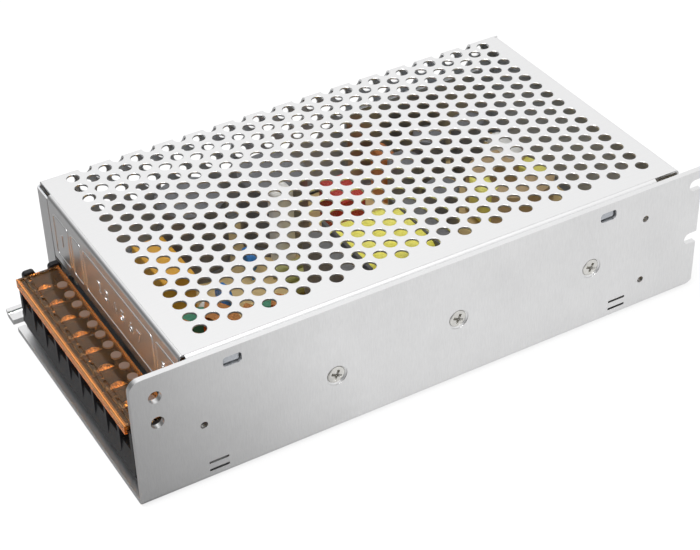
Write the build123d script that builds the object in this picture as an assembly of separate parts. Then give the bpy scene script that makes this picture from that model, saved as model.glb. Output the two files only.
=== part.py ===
from build123d import *
import os
from math import cos, radians, sin, sqrt

# Mesh case switching power supply, at real size in millimetres.
# X runs along the case, from the terminal end to the rear. Y runs across it, from the solid
# side wall to the perforated one. Z is up, and the origin is at the centre of the underside.
# Places are given as distances from the terminal end, from the solid side and from below.

# Case
case_length = 215.0
case_width = 115.0
case_height = 50.0

# Chassis, one folded sheet: floor, solid side wall and a low lip on the far side
chassis_sheet = 2.0
chassis_bend = 0.8
wall_drop = 0.4
lip_height = 9.0
lip_setback = 24.0
wall_front_radius = 4.0
wall_rear_chamfer = 2.8
ear_length = 7.5

# Features of the solid side wall
tie_hole_radius = 2.25
tie_hole_from_front = 8.0
tie_hole_from_top = (18.5, 8.6)
pilot_radius = 1.3
pilot_from_front = 23.0
pilot_height = 23.4
side_tap_radius = 1.25
side_tap_from_rear = 23.5
side_tap_height = 11.9
side_tap_from_top = 12.4
notch_width = 4.4
notch_depth = 5.2
notch_height = 21.6
notch_from_top = 6.1
lance_length = 7.0
lance_slit = 0.9
lance_height = 5.8
lance_strip = 2.2
lance_push = 0.8
lance_from_front = (27.0, 181.5)

# Cover, one folded and perforated sheet
cover_sheet = 0.8
cover_bend = 0.8
cover_from_front = 18.0
cover_wall_gap = 0.1
cover_floor_gap = 0.3
cover_bend_tail = 0.2
corner_relief = 0.4
near_flange_drop = 11.0
near_flange_front_setback = 2.2
near_flange_rear_setback = 10.5
front_plate_bottom = 25.0
front_flange_width = 9.6
front_flange_gap = 0.6
snap_from_front = (34.2, 175.4)
snap_from_top = 5.4
snap_slot_length = 6.4
snap_slot_height = 3.6
snap_clearance = 0.4
snap_bump = 1.2

# Perforation: round holes in a staggered pattern, drawn with few sides
hole_diameter = 4.6
hole_sides = 6
hole_pitch = 6.95
pattern_front_margin = 11.8
pattern_rear_margin = 7.0
pattern_near_margin = 10.4
pattern_far_margin = 4.0
side_rows = 5
side_first_row_drop = 4.1

# Frames pressed into the front plate, as places along it and lengths
label_rise = 0.3
label_line = 0.7
label_height = 17.0
label_from_top = 3.0
label_frames = ((1.6, 15.0), (18.4, 54.0), (74.0, 9.0), (84.6, 13.0))

# Flat cover screws, through the perforated side into the lip
cover_screw_radius = 1.3
cover_screw_head_radius = 2.5
cover_screw_head = 1.2
cover_screw_play = 0.1
cover_screw_from_front = (45.0, 185.0)
cover_screw_height = 5.6
cover_screw_length = 4.4

# Threaded holes in the floor
floor_tap_radius = 1.65
floor_tap_length_spacing = 150.0
floor_tap_width_spacing = 50.0

# Circuit board, insulating sheet under it, spacers and screws
film_thickness = 0.4
film_margin = 0.6
spacer_height = 5.0
spacer_radius = 2.8
board_thickness = 1.6
board_from_front = 2.4
board_rear_gap = 2.2
board_near_gap = 2.6
board_far_gap = 0.8
board_corner_width = 8.9
board_corner_length = 20.0
board_hole_radius = 1.6
board_screw_radius = 1.45
board_screw_head_radius = 2.7
board_screw_head = 1.8
board_screw_length = 6.0
board_screw_inset = 5.0
board_screw_front_inset = 24.0

# Terminal block with its plates and screws
poles = 9
pole_pitch = 10.0
barrier_thickness = 1.6
end_wall = 2.0
block_from_front = 1.2
block_from_side = 6.6
block_depth = 15.8
ledge_height = 6.4
ledge_slope = 1.0
skirt_drop = 1.3
skirt_play = 0.1
barrier_height = 16.1
barrier_setback = 0.3
rear_wall_depth = 3.4
rear_wall_height = 13.4
pedestal_setback = 4.2
pedestal_height = 9.0
contact_thickness = 0.8
screw_setback = 7.9
clamp_washer_side = 7.4
clamp_washer_thickness = 1.0
terminal_head_radius = 3.1
terminal_head = 2.4
terminal_thread_radius = 1.7
terminal_screw_length = 6.0

# Hinged flap over the terminals
ear_depth = 4.4
ear_front_setback = 2.0
ear_rise = 2.8
flap_thickness = 1.2
flap_rest_gap = 0.3
flap_end_gap = 0.25
flap_skirt = 2.8
flap_skirt_thickness = 0.9
flap_rib = 0.5
flap_rib_width = 0.8
flap_rib_setbacks = (2.6, 4.4)
flap_rim = 1.0
flap_tab = 1.4
flap_tail = 1.2
pin_from_block_rear = 2.0
pin_radius = 0.75
pin_play = 0.05
pin_length = 1.5

# Parts beside the terminal block
trimmer_width = 5.0
trimmer_height = 4.6
trimmer_from_front = 10.0
trimmer_from_block = 0.4
rotor_radius = 1.9
rotor_rise = 0.9
rotor_stem_radius = 1.2
rotor_stem_depth = 1.6
rotor_play = 0.05
rotor_slot_width = 0.7
rotor_slot_depth = 0.5
led_radius = 1.5
led_flange_radius = 1.9
led_flange = 1.0
led_height = 5.2
led_from_front = 5.5

# Power devices pressed to the solid side wall
clamp_screw_from_front = (70.0, 116.0, 169.5)
clamp_screw_heights = (22.4, 25.8, 25.5)
clamp_screw_head_radius = 3.4
clamp_screw_head = 1.5
clamp_screw_recess = 0.3
clamp_screw_recess_radius = 3.8
clamp_screw_radius = 1.6
clamp_screw_play = 0.1
clamp_screw_length = 9.6
pad_thickness = 0.4
pad_border = 1.5
package_width = 15.6
package_height = 20.0
package_thickness = 4.8
package_spacing = 21.0
package_lift = 4.6
package_chamfer = 0.8
lead_radius = 0.4
lead_width = 1.2
lead_thickness = 0.7
lead_pitch = 5.0
bridge_width = 22.0
bridge_height = 18.0
clamp_bar_thickness = 2.4
clamp_bar_height = 9.0
clamp_bar_overhang = 4.0

# Parts on the board: distance from the front and from the side wall, then sizes
fuse_place = (30.0, 92.0)
fuse_radius = 2.6
fuse_length = 20.0
fuse_cap_length = 5.5
fuse_lift = 3.4
fuse_clip_length = 4.4
fuse_clip_width = 7.0
fuse_clip_sheet = 0.5
thermistor_place = (27.0, 66.0)
thermistor_radius = 6.0
thermistor_thickness = 4.0
thermistor_lift = 2.6
film_box_place = (47.0, 79.0)
film_box_size = (12.0, 26.0, 19.5)
y_capacitor_places = ((79.0, 78.0), (62.0, 64.0))
y_capacitor_radius = 4.5
y_capacitor_thickness = 3.6
y_capacitor_lift = 3.0
# Ring chokes: place, then outer radius, inner radius, height and lift above the board
line_choke = ((45.0, 46.0), 12.0, 5.5, 11.0, 1.6)
small_choke = ((70.0, 45.0), 8.6, 4.4, 7.5, 1.4)
output_choke = ((179.0, 62.0), 15.0, 7.5, 14.0, 2.2)
output_choke_turn = 90.0
winding_wire = 1.2
winding_turns = 7
winding_arc = 118.0
bulk_places = ((66.0, 95.0), (98.0, 94.0))
bulk_radius = 12.5
bulk_height = 30.0
can_groove_depth = 0.5
can_groove_width = 1.2
can_groove_from_base = 3.4
transformer_place = (109.0, 37.0)
transformer_core_size = (42.0, 35.0, 27.0)
transformer_leg = 7.0
transformer_core_lift = 3.6
transformer_winding_size = (27.0, 32.0, 31.0)
transformer_winding_radius = 5.0
transformer_flange = 1.4
transformer_post = 10.0
box_rounding = 1.6
red_box_place = (123.0, 88.0)
red_box_size = (11.0, 17.0, 16.5)
brown_box_place = (146.0, 96.5)
brown_box_size = (6.0, 12.0, 20.0)
output_can_places = ((146.0, 82.0), (163.0, 92.0), (180.0, 92.0), (148.0, 60.0))
output_can_radius = 6.25
output_can_height = 24.0
heatsink_from_front = 136.0
heatsink_length = 58.0
heatsink_sheet = 2.0
heatsink_foot = 5.0
heatsink_height = 34.0
heatsink_side_gap = 3.0
chip_place = (141.0, 24.0)
chip_size = (19.6, 6.4, 3.6)
chip_lift = 0.8
chip_leg = 0.6
resistor_places = ((92.0, 60.0), (92.0, 66.0), (92.0, 72.0))
resistor_radius = 2.2
resistor_length = 12.0
resistor_lift = 0.5
resistor_lead = 0.8
# White glue: place, then length, width and height of each dab
fuse_side_glue = ((56.0, 62.5), (7.0, 9.0, 7.0))
bulk_can_glue = ((94.5, 81.5), (8.0, 8.0, 31.0))
output_choke_glue = ((187.0, 77.0), (6.5, 17.0, 20.5))
glue_rounding = 2.5

# Derived levels and edges
x_front = -case_length / 2
x_rear = case_length / 2
y_near = -case_width / 2
y_far = case_width / 2
cover_turn = cover_sheet + cover_bend
cover_front = x_front + cover_from_front
cover_rear = x_rear - ear_length
cover_near = y_near + chassis_sheet + cover_wall_gap
lip_outer = y_far - cover_sheet - cover_wall_gap
board_bottom = chassis_sheet + spacer_height
board_top = board_bottom + board_thickness
board_front = x_front + board_from_front
board_rear = cover_rear - cover_sheet - board_rear_gap
board_near = y_near + chassis_sheet + board_near_gap
board_far = lip_outer - chassis_sheet - board_far_gap
snap_height = case_height - snap_from_top
block_front = x_front + block_from_front
block_rear = block_front + block_depth
block_near = y_near + block_from_side
block_length = poles * pole_pitch - barrier_thickness + 2 * end_wall
block_far = block_near + block_length
barrier_top = board_top + barrier_height
flap_bottom = barrier_top + flap_rest_gap
flap_top = flap_bottom + flap_thickness
pin_x = block_rear - pin_from_block_rear
pin_z = flap_bottom + flap_thickness / 2
contact_top = board_top + pedestal_height + contact_thickness
screw_x = block_front + screw_setback
pole_centres = [
    block_near + end_wall - barrier_thickness / 2 + pole_pitch * (pole + 0.5)
    for pole in range(poles)
]


def along(distance):
    # X of a point measured from the terminal end
    return x_front + distance


def across(distance):
    # Y of a point measured from the solid side
    return y_near + distance


def slab(x_range, y_range, z_range):
    # A rectangular block between two limits on each axis
    size = [high - low for low, high in (x_range, y_range, z_range)]
    centre = [(high + low) / 2 for low, high in (x_range, y_range, z_range)]
    return Pos(*centre) * Box(*size)


def around(centre, length):
    # The two limits of a length centred on a value
    return (centre - length / 2, centre + length / 2)


def rod(centre, direction, radius, length):
    # A round bar that starts at a point and runs in one direction
    plane = Plane(origin=centre, z_dir=direction)
    return plane * Cylinder(radius, length, align=(Align.CENTER, Align.CENTER, Align.MIN))


def on_board(place, lift=0.0):
    # The point on top of the board for a place given from the front and from the side
    return (along(place[0]), across(place[1]), board_top + lift)


def sheet_profile():
    # Section of the chassis across the case: wall, floor and lip in one sheet
    height = case_height - wall_drop
    width = lip_outer - y_near
    low = (Align.MIN, Align.MIN)
    section = Pos(y_near, 0) * Rectangle(width, chassis_sheet, align=low)
    section += Pos(y_near, 0) * Rectangle(chassis_sheet, height, align=low)
    section += Pos(lip_outer - chassis_sheet, 0) * Rectangle(chassis_sheet, lip_height, align=low)
    outer_corners = [(y_near, 0, 0), (lip_outer, 0, 0)]
    inner_corners = [
        (y_near + chassis_sheet, chassis_sheet, 0),
        (lip_outer - chassis_sheet, chassis_sheet, 0),
    ]
    for corner in outer_corners:
        section = fillet(section.vertices().sort_by_distance(corner)[0], chassis_sheet + chassis_bend)
    for corner in inner_corners:
        section = fillet(section.vertices().sort_by_distance(corner)[0], chassis_bend)
    return section


def side_slot(x, z, length, height, radius):
    # A round-cornered slot cut through the side wall
    shape = RectangleRounded(length, height, radius)
    plane = Plane(origin=(x, y_near - 1, z), x_dir=(1, 0, 0), z_dir=(0, -1, 0))
    return extrude(plane * shape, -(chassis_sheet + 2))


def make_chassis():
    plane = Plane(origin=(x_front, 0, 0), x_dir=(0, 1, 0), z_dir=(1, 0, 0))
    body = extrude(plane * sheet_profile(), case_length)
    wall_inside = y_near + chassis_sheet
    wall_top = case_height - wall_drop
    # The floor stops at the rear of the cover, and the wall runs on as an ear
    floor_end = cover_rear - cover_sheet
    body -= slab((floor_end, x_rear + 1), (wall_inside, y_far + 1), (-1, case_height))
    # The lip starts behind the cover's front flange
    body -= slab(
        (x_front - 1, along(lip_setback)),
        (lip_outer - chassis_sheet - chassis_bend, y_far + 1),
        (chassis_sheet + chassis_bend, case_height),
    )
    wall_edges = body.edges().filter_by(Axis.Y)
    front_top = wall_edges.sort_by_distance((x_front, wall_inside, wall_top))[0]
    body = fillet(front_top, wall_front_radius)
    cut_side = wall_rear_chamfer * sqrt(2)
    body -= Pos(x_rear, y_near, 0) * Rot(0, 45, 0) * Box(cut_side, 2 * lip_setback, cut_side)
    into_wall = (0, 1, 0)
    cut_length = chassis_sheet + 2
    start = y_near - 1
    for drop in tie_hole_from_top:
        z = case_height - drop
        body -= rod((along(tie_hole_from_front), start, z), into_wall, tie_hole_radius, cut_length)
    body -= rod((along(pilot_from_front), start, pilot_height), into_wall, pilot_radius, cut_length)
    for z in (side_tap_height, case_height - side_tap_from_top):
        body -= rod((x_rear - side_tap_from_rear, start, z), into_wall, side_tap_radius, cut_length)
    # Notches open at the rear edge of the ear
    for z in (notch_height, case_height - notch_from_top):
        notch = side_slot(x_rear, z, 2 * notch_depth, notch_width, notch_width / 2 - 0.01)
        body -= notch
    # Slots that the cover snaps into
    for x in snap_from_front:
        slot_size = (snap_slot_length, snap_slot_height)
        body -= side_slot(along(x), snap_height, *slot_size, snap_slot_height * 0.3)
    # Lances: a strip between two slits, pushed inwards
    for x in lance_from_front:
        for side in (-1, 1):
            z = lance_height + side * (lance_strip + lance_slit) / 2
            body -= side_slot(along(x), z, lance_length, lance_slit, lance_slit * 0.3)
        body += slab(
            around(along(x), lance_length * 0.7),
            (wall_inside, wall_inside + lance_push),
            around(lance_height, lance_strip),
        )
    # Recesses and holes for the screws that clamp the power devices
    for x, z in zip(clamp_screw_from_front, clamp_screw_heights):
        body -= clamp_screw_seat(along(x), z)
    # Notch in the floor's front edge, at the far corner
    floor_notch = RectangleRounded(2 * notch_depth, notch_width, notch_width / 2 - 0.01)
    floor_notch = Pos(x_front, lip_outer - 2 * notch_width, -1) * floor_notch
    body -= extrude(floor_notch, chassis_sheet + 2)
    # Threaded holes under the floor
    for x in around(0, floor_tap_length_spacing):
        for y in around(0, floor_tap_width_spacing):
            body -= rod((x, y, -1), (0, 0, 1), floor_tap_radius, chassis_sheet + 2)
    for x in cover_screw_from_front:
        body -= cover_screw_seat(along(x))
    return body


def flat_head(start, direction, head_radius, head, radius, length):
    # A flat screw head and its shank, from the head's face inwards
    plane = Plane(origin=start, z_dir=direction)
    cone = Cone(head_radius, radius, head, align=(Align.CENTER, Align.CENTER, Align.MIN))
    return plane * cone + rod(start, direction, radius, length)


def clamp_screw_seat(x, z):
    # The recess, the countersink and the hole for one clamp screw
    inwards = (0, 1, 0)
    play = clamp_screw_play
    face = (x, y_near + clamp_screw_recess, z)
    seat = rod((x, y_near - 1, z), inwards, clamp_screw_recess_radius, 1 + clamp_screw_recess)
    head_radius = clamp_screw_head_radius + play
    return seat + flat_head(face, inwards, head_radius, clamp_screw_head, clamp_screw_radius + play, 3)


def cover_screw_seat(x):
    # The countersunk hole for one cover screw, through the cover and into the lip
    play = cover_screw_play
    face = (x, y_far, cover_screw_height)
    head_radius = cover_screw_head_radius + play
    shank_radius = cover_screw_radius + play
    return flat_head(face, (0, -1, 0), head_radius, cover_screw_head, shank_radius, cover_screw_length)


def fold_section(drop):
    # Section of a folded edge: the flat sheet ends at the origin, the wall hangs outside it
    outer = CenterArc((0, -cover_turn), cover_turn, 0, 90)
    inner = CenterArc((0, -cover_turn), cover_bend, 0, 90)
    outline = [
        outer,
        Line(outer @ 1, inner @ 1),
        inner,
        Line(inner @ 0, (cover_bend, -drop)),
        Line((cover_bend, -drop), (cover_turn, -drop)),
        Line((cover_turn, -drop), outer @ 0),
    ]
    return make_face(outline)


def folded_edge(start, outward, up, drop, length):
    # A folded edge from a start point: outward is where the wall stands, up is the sheet's face
    along_fold = Vector(*outward).cross(Vector(*up))
    plane = Plane(origin=start, x_dir=outward, z_dir=along_fold)
    return extrude(plane * fold_section(drop), length)


def top_hole_centres():
    # Staggered rows: every second column is moved by half a pitch
    column_step = hole_pitch * sin(radians(60))
    usable_length = cover_rear - cover_front - pattern_front_margin - pattern_rear_margin
    usable_width = y_far - cover_near - pattern_near_margin - pattern_far_margin
    centres = []
    for column in range(int(usable_length / column_step) + 1):
        offset = hole_pitch / 2 if column % 2 else 0.0
        x = cover_front + pattern_front_margin + column * column_step
        for row in range(int((usable_width - offset) / hole_pitch) + 1):
            centres.append((x, cover_near + pattern_near_margin + offset + row * hole_pitch))
    return centres


def perforated_panel(plane, low, high, centres, depth):
    # A flat stretch of sheet on a plane, with holes at centres given on that plane
    size = (high[0] - low[0], high[1] - low[1])
    middle = ((high[0] + low[0]) / 2, (high[1] + low[1]) / 2)
    border = (Pos(*middle) * Rectangle(*size)).face().outer_wire()
    hole = RegularPolygon(hole_diameter / 2, hole_sides).face().outer_wire()
    holes = [Pos(*centre) * hole for centre in centres]
    return extrude(plane * Face(border, holes), depth)


def side_hole_centres():
    # The same staggered pattern carried on down the far wall
    centres = []
    columns = sorted({x for x, y in top_hole_centres()})
    for number, x in enumerate(columns):
        for row in range(number % 2, side_rows, 2):
            z = case_height - side_first_row_drop - row * hole_pitch / 2
            centres.append((x, z))
    return centres


def label_frame(start, length):
    # One raised frame on the front plate
    high = case_height - cover_turn - label_from_top
    plate_near = cover_near + cover_turn
    y_range = (plate_near + start, plate_near + start + length)
    z_range = (high - label_height, high)
    x_range = (cover_front - label_rise, cover_front)
    frame = slab(x_range, y_range, z_range)
    inner_y = (y_range[0] + label_line, y_range[1] - label_line)
    inner_z = (z_range[0] + label_line, z_range[1] - label_line)
    return frame - slab(x_range, inner_y, inner_z)


def cover_front_plate(low_x, low_y):
    # The plate that hangs behind the terminals, with its raised frames
    far = y_far - front_flange_width - front_flange_gap
    start = (low_x, low_y, case_height)
    drop = case_height - front_plate_bottom
    plate = folded_edge(start, (-1, 0, 0), (0, 0, 1), drop, far - low_y)
    for frame_start, length in label_frames:
        plate += label_frame(frame_start, length)
    return plate


def cover_near_flange(low_y):
    # The flange inside the solid wall, with bumps that snap into the wall's slots
    rear = cover_rear - near_flange_rear_setback
    length = rear - cover_front - near_flange_front_setback
    start = (rear, low_y, case_height)
    flange = folded_edge(start, (0, -1, 0), (0, 0, 1), near_flange_drop, length)
    for x in snap_from_front:
        size = (snap_slot_length - 2 * snap_clearance, snap_slot_height - 2 * snap_clearance)
        plane = Plane(origin=(along(x), cover_near, snap_height), x_dir=(1, 0, 0), z_dir=(0, -1, 0))
        flange += extrude(plane * Rectangle(*size), snap_bump, taper=12)
    return flange


def make_mesh_cover():
    top = case_height
    low_x = cover_front + cover_turn
    high_x = cover_rear - cover_turn
    low_y = cover_near + cover_turn
    high_y = y_far - cover_turn
    bend_drop = cover_turn + cover_bend_tail
    # Flat panels, the top one and the far wall
    top_plane = Plane(origin=(0, 0, top))
    top_size = ((low_x, low_y), (high_x, high_y))
    top_panel = perforated_panel(top_plane, *top_size, top_hole_centres(), -cover_sheet)
    side_plane = Plane(origin=(0, y_far, 0), x_dir=(1, 0, 0), z_dir=(0, -1, 0))
    side_size = ((low_x, cover_floor_gap), (cover_rear, top - bend_drop))
    side_panel = perforated_panel(side_plane, *side_size, side_hole_centres(), cover_sheet)
    for x in cover_screw_from_front:
        side_panel -= cover_screw_seat(along(x))
    # The bend between them, and the far wall's front end folded in as a flange
    far_bend = folded_edge((low_x, high_y, top), (0, 1, 0), (0, 0, 1), bend_drop, cover_rear - low_x)
    far_bend -= slab((high_x, cover_rear), (high_y - 1, high_y), (top - cover_turn, top))
    flange_top = top - cover_turn
    flange_height = flange_top - chassis_sheet - chassis_bend - cover_floor_gap
    flange = folded_edge(
        (low_x, y_far, flange_top), (-1, 0, 0), (0, 1, 0), front_flange_width, flange_height
    )
    rear_far = high_y - corner_relief
    rear_drop = top - cover_floor_gap
    rear_wall = folded_edge((high_x, rear_far, top), (1, 0, 0), (0, 0, 1), rear_drop, rear_far - low_y)
    folds = [far_bend, flange, rear_wall, cover_front_plate(low_x, low_y), cover_near_flange(low_y)]
    return top_panel.fuse(side_panel, *folds)


def make_cover_screws():
    screws = []
    for x in cover_screw_from_front:
        face = (along(x), y_far, cover_screw_height)
        head = (cover_screw_head_radius, cover_screw_head)
        screw = flat_head(face, (0, -1, 0), *head, cover_screw_radius, cover_screw_length)
        screws.append(screw)
    return screws


def make_insulating_film():
    x_range = (board_front + film_margin, board_rear - film_margin)
    y_range = (board_near + film_margin, board_far - film_margin)
    film = slab(x_range, y_range, (chassis_sheet, chassis_sheet + film_thickness))
    for x, y in board_screw_places():
        film -= rod((x, y, 0), (0, 0, 1), spacer_radius + 0.5, board_bottom)
    corner_x = (x_front, board_front + board_corner_length + film_margin)
    corner_y = (board_far - board_corner_width - film_margin, y_far)
    return film - slab(corner_x, corner_y, (0, board_bottom))


def board_screw_places():
    # Four corners and one in the middle of the board
    front = board_front + board_screw_front_inset
    rear = board_rear - board_screw_inset
    near = board_near + board_screw_inset
    far = board_far - board_screw_inset
    return [(front, near), (front, far), (rear, near), (rear, far), ((front + rear) / 2, far)]


def make_circuit_board():
    board = slab((board_front, board_rear), (board_near, board_far), (board_bottom, board_top))
    corner_x = (board_front - 1, board_front + board_corner_length)
    board -= slab(corner_x, (board_far - board_corner_width, y_far), (board_bottom, board_top))
    for x, y in board_screw_places():
        board -= rod((x, y, board_bottom), (0, 0, 1), board_hole_radius, board_thickness)
    return board


def make_spacers():
    spacers = []
    for x, y in board_screw_places():
        spacer = rod((x, y, chassis_sheet), (0, 0, 1), spacer_radius, spacer_height)
        spacers.append(spacer - rod((x, y, chassis_sheet), (0, 0, 1), board_screw_radius, spacer_height))
    return spacers


def make_board_screws():
    screws = []
    for x, y in board_screw_places():
        screw = rod((x, y, board_top), (0, 0, 1), board_screw_head_radius, board_screw_head)
        screw += rod((x, y, board_top), (0, 0, -1), board_screw_radius, board_screw_length)
        screws.append(screw)
    return screws


def block_profile():
    # Section of the block's base: a skirt over the board's edge, a sloping ledge, the pedestal
    # for the plates and the rear wall
    ledge = board_top + ledge_height
    pedestal = board_top + pedestal_height
    pedestal_front = block_front + pedestal_setback
    wall_front = block_rear - rear_wall_depth
    wall_top = board_top + rear_wall_height
    skirt = board_top - skirt_drop
    skirt_back = board_front - skirt_play
    points = [
        (block_front, skirt),
        (block_front + ledge_slope, ledge),
        (pedestal_front, ledge),
        (pedestal_front, pedestal),
        (wall_front, pedestal),
        (wall_front, wall_top),
        (block_rear, wall_top),
        (block_rear, board_top),
        (skirt_back, board_top),
        (skirt_back, skirt),
    ]
    return make_face(Polyline(*points, close=True))


def make_terminal_block():
    plane = Plane(origin=(0, block_near, 0), x_dir=(1, 0, 0), z_dir=(0, -1, 0))
    block = extrude(plane * block_profile(), -block_length)
    barrier_x = (block_front + barrier_setback, block_rear - rear_wall_depth)
    barrier_z = (board_top, barrier_top)
    for number in range(1, poles):
        centre = pole_centres[number] - pole_pitch / 2
        block += slab(barrier_x, around(centre, barrier_thickness), barrier_z)
    ends = ((block_near, block_near + end_wall), (block_far - end_wall, block_far))
    ear_x = block_front + ear_front_setback
    for end in ends:
        block += slab(barrier_x, end, barrier_z)
        front_ear = slab((ear_x, ear_x + ear_depth), end, (board_top, barrier_top + ear_rise))
        rear_ear = Pos(block_rear - ear_depth - ear_x, 0, 0) * front_ear
        for ear in (front_ear, rear_ear):
            top_edges = ear.edges().filter_by(Axis.Y).group_by(Axis.Z)[-1]
            block += fillet(top_edges, ear_depth * 0.3)
    # Holes in the rear ears for the flap's pins
    block -= rod((pin_x, block_near - 1, pin_z), (0, 1, 0), pin_radius + pin_play, end_wall + 2)
    block -= rod((pin_x, block_far + 1, pin_z), (0, -1, 0), pin_radius + pin_play, end_wall + 2)
    # Holes that the screws pass below the plates
    for y in pole_centres:
        bore = (screw_x, y, contact_top)
        block -= rod(bore, (0, 0, -1), terminal_thread_radius, terminal_screw_length + 1)
    return block


def make_contact_plates():
    plates = []
    x_range = (block_front + pedestal_setback, block_rear - rear_wall_depth)
    z_range = (board_top + pedestal_height, contact_top)
    for y in pole_centres:
        plate = slab(x_range, around(y, pole_pitch - barrier_thickness), z_range)
        plates.append(plate - rod((screw_x, y, contact_top), (0, 0, -1), terminal_thread_radius, 2))
    return plates


def make_clamp_washers():
    washers = []
    z_range = (contact_top, contact_top + clamp_washer_thickness)
    for y in pole_centres:
        washer = slab(around(screw_x, clamp_washer_side), around(y, clamp_washer_side), z_range)
        hole = rod((screw_x, y, contact_top), (0, 0, 1), terminal_thread_radius, clamp_washer_thickness)
        washers.append(washer - hole)
    return washers


def make_terminal_screws():
    screws = []
    head_seat = contact_top + clamp_washer_thickness
    for y in pole_centres:
        screw = rod((screw_x, y, head_seat), (0, 0, 1), terminal_head_radius, terminal_head)
        shank_length = clamp_washer_thickness + terminal_screw_length
        screw += rod((screw_x, y, head_seat), (0, 0, -1), terminal_thread_radius, shank_length)
        screws.append(screw)
    return screws


def make_terminal_flap():
    near = block_near + end_wall + flap_end_gap
    far = block_far - end_wall - flap_end_gap
    front = block_front + barrier_setback - flap_skirt_thickness - flap_end_gap
    rear = pin_x + flap_tail
    flap = slab((front, rear), (near, far), (flap_bottom, flap_top))
    tail_edges = flap.edges().filter_by(Axis.Y).group_by(Axis.X)[-1]
    flap = fillet(tail_edges, flap_thickness * 0.4)
    # Skirt over the front of the barriers, a raised rim, and two ribs with a tab at each pole
    flap += slab((front, front + flap_skirt_thickness), (near, far), (flap_top - flap_skirt, flap_top))
    for setback in flap_rib_setbacks:
        rib_x = front + setback
        flap += slab((rib_x, rib_x + flap_rib_width), (near, far), (flap_top, flap_top + flap_rib))
    high = flap_top + flap_rib
    rim = slab((front, rear - flap_thickness * 0.4), (near, far), (flap_top, high))
    inner_x = (front + flap_rim, rear - flap_thickness * 0.4 - flap_rim)
    flap += rim - slab(inner_x, (near + flap_rim, far - flap_rim), (flap_top, high))
    tab_x = (front + flap_rib_setbacks[0] + flap_rib_width, front + flap_rib_setbacks[1])
    for y in pole_centres:
        flap += slab(tab_x, around(y, flap_tab), (flap_top, high))
    # Pins that turn in the block's rear ears
    for y, direction in ((near, (0, -1, 0)), (far, (0, 1, 0))):
        flap += rod((pin_x, y, pin_z), direction, pin_radius, flap_end_gap + pin_length)
    return flap


def trimmer_centre():
    x = along(trimmer_from_front) + trimmer_width / 2
    y = block_far + trimmer_from_block + trimmer_width / 2
    return x, y


def make_trimmer_body():
    x, y = trimmer_centre()
    top = board_top + trimmer_height
    body = slab(around(x, trimmer_width), around(y, trimmer_width), (board_top, top))
    return body - rod((x, y, top), (0, 0, -1), rotor_stem_radius + rotor_play, rotor_stem_depth)


def make_trimmer_rotor():
    x, y = trimmer_centre()
    seat = board_top + trimmer_height + rotor_play
    rotor = rod((x, y, seat), (0, 0, 1), rotor_radius, rotor_rise)
    rotor += rod((x, y, seat), (0, 0, -1), rotor_stem_radius, rotor_stem_depth - rotor_play)
    top = seat + rotor_rise
    slot_z = (top - rotor_slot_depth, top)
    return rotor - slab(around(x, 2 * rotor_radius + 1), around(y, rotor_slot_width), slot_z)


def make_indicator_led():
    y = block_far + trimmer_from_block + trimmer_width / 2
    base = (along(led_from_front), y, board_top)
    led = rod(base, (0, 0, 1), led_flange_radius, led_flange)
    led += rod(base, (0, 0, 1), led_radius, led_height - led_radius)
    dome = Pos(base[0], base[1], board_top + led_height - led_radius) * Sphere(led_radius)
    return led + dome


def make_fuse():
    x, y, z = on_board(fuse_place, fuse_lift + fuse_radius)
    start = (x, y - fuse_length / 2, z)
    fuse = rod(start, (0, 1, 0), fuse_radius * 0.9, fuse_length)
    fuse += rod(start, (0, 1, 0), fuse_radius, fuse_cap_length)
    return fuse + rod((x, y + fuse_length / 2, z), (0, -1, 0), fuse_radius, fuse_cap_length)


def make_fuse_clips():
    # Each clip is a bent sheet: a foot on the board and two arms beside the fuse's cap
    clips = []
    x, y, low = on_board(fuse_place)
    high = low + fuse_lift + fuse_radius * 1.6
    for side in (-1, 1):
        centre = y + side * (fuse_length - fuse_cap_length) / 2
        span = around(centre, fuse_clip_length)
        clip = slab(around(x, 2 * fuse_radius), span, (low, low + fuse_clip_sheet))
        for arm_side in (-1, 1):
            inner = x + arm_side * fuse_radius
            outer = inner + arm_side * fuse_clip_sheet
            clip += slab((min(inner, outer), max(inner, outer)), span, (low, high))
        clip += slab(around(x, 2), span, (low, low + fuse_lift))
        clips.append(clip)
    return clips


def leads(x, y, lift, spacing):
    # Two round leads between a part and the board
    places = around(y, spacing)
    return [rod((x, place, board_top), (0, 0, 1), lead_radius, lift) for place in places]


def disc_part(place, radius, thickness, lift):
    # A round flat part that stands on two leads
    x, y, z = on_board(place, lift + radius)
    body = rod((x - thickness / 2, y, z), (1, 0, 0), radius, thickness)
    body = chamfer(body.edges().filter_by(GeomType.CIRCLE), thickness * 0.3)
    for lead in leads(x, y, lift + radius * 0.5, radius):
        body += lead
    return body


def make_film_box():
    return board_box(film_box_place, film_box_size, box_rounding / 2)


def board_box(place, size, edge):
    # A box on the board with its upright edges and top rim eased
    x, y, z = on_board(place)
    box = slab(around(x, size[0]), around(y, size[1]), (z, z + size[2]))
    box = fillet(box.edges().filter_by(Axis.Z), edge)
    return chamfer(box.faces().sort_by(Axis.Z)[-1].edges(), edge * 0.5)


def ring_core(place, outer, inner, height, lift):
    x, y, z = on_board(place, lift)
    ring = rod((x, y, z), (0, 0, 1), outer, height) - rod((x, y, z), (0, 0, 1), inner, height)
    rims = ring.edges().filter_by(GeomType.CIRCLE)
    return chamfer(rims, 0.6)


def ring_winding(place, outer, inner, height, lift, start):
    # One winding on a ring core: a sleeve of wire round part of the ring
    x, y, z = on_board(place, lift + height / 2)
    wire = winding_wire
    radial = outer - inner
    section = Rectangle(radial + 2 * wire, height + 2 * wire) - Rectangle(radial, height)
    section = Plane.XZ * Pos((outer + inner) / 2, 0) * section
    sleeve = revolve(section, Axis.Z, winding_arc)
    return Pos(x, y, z) * Rot(0, 0, start) * sleeve


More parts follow.
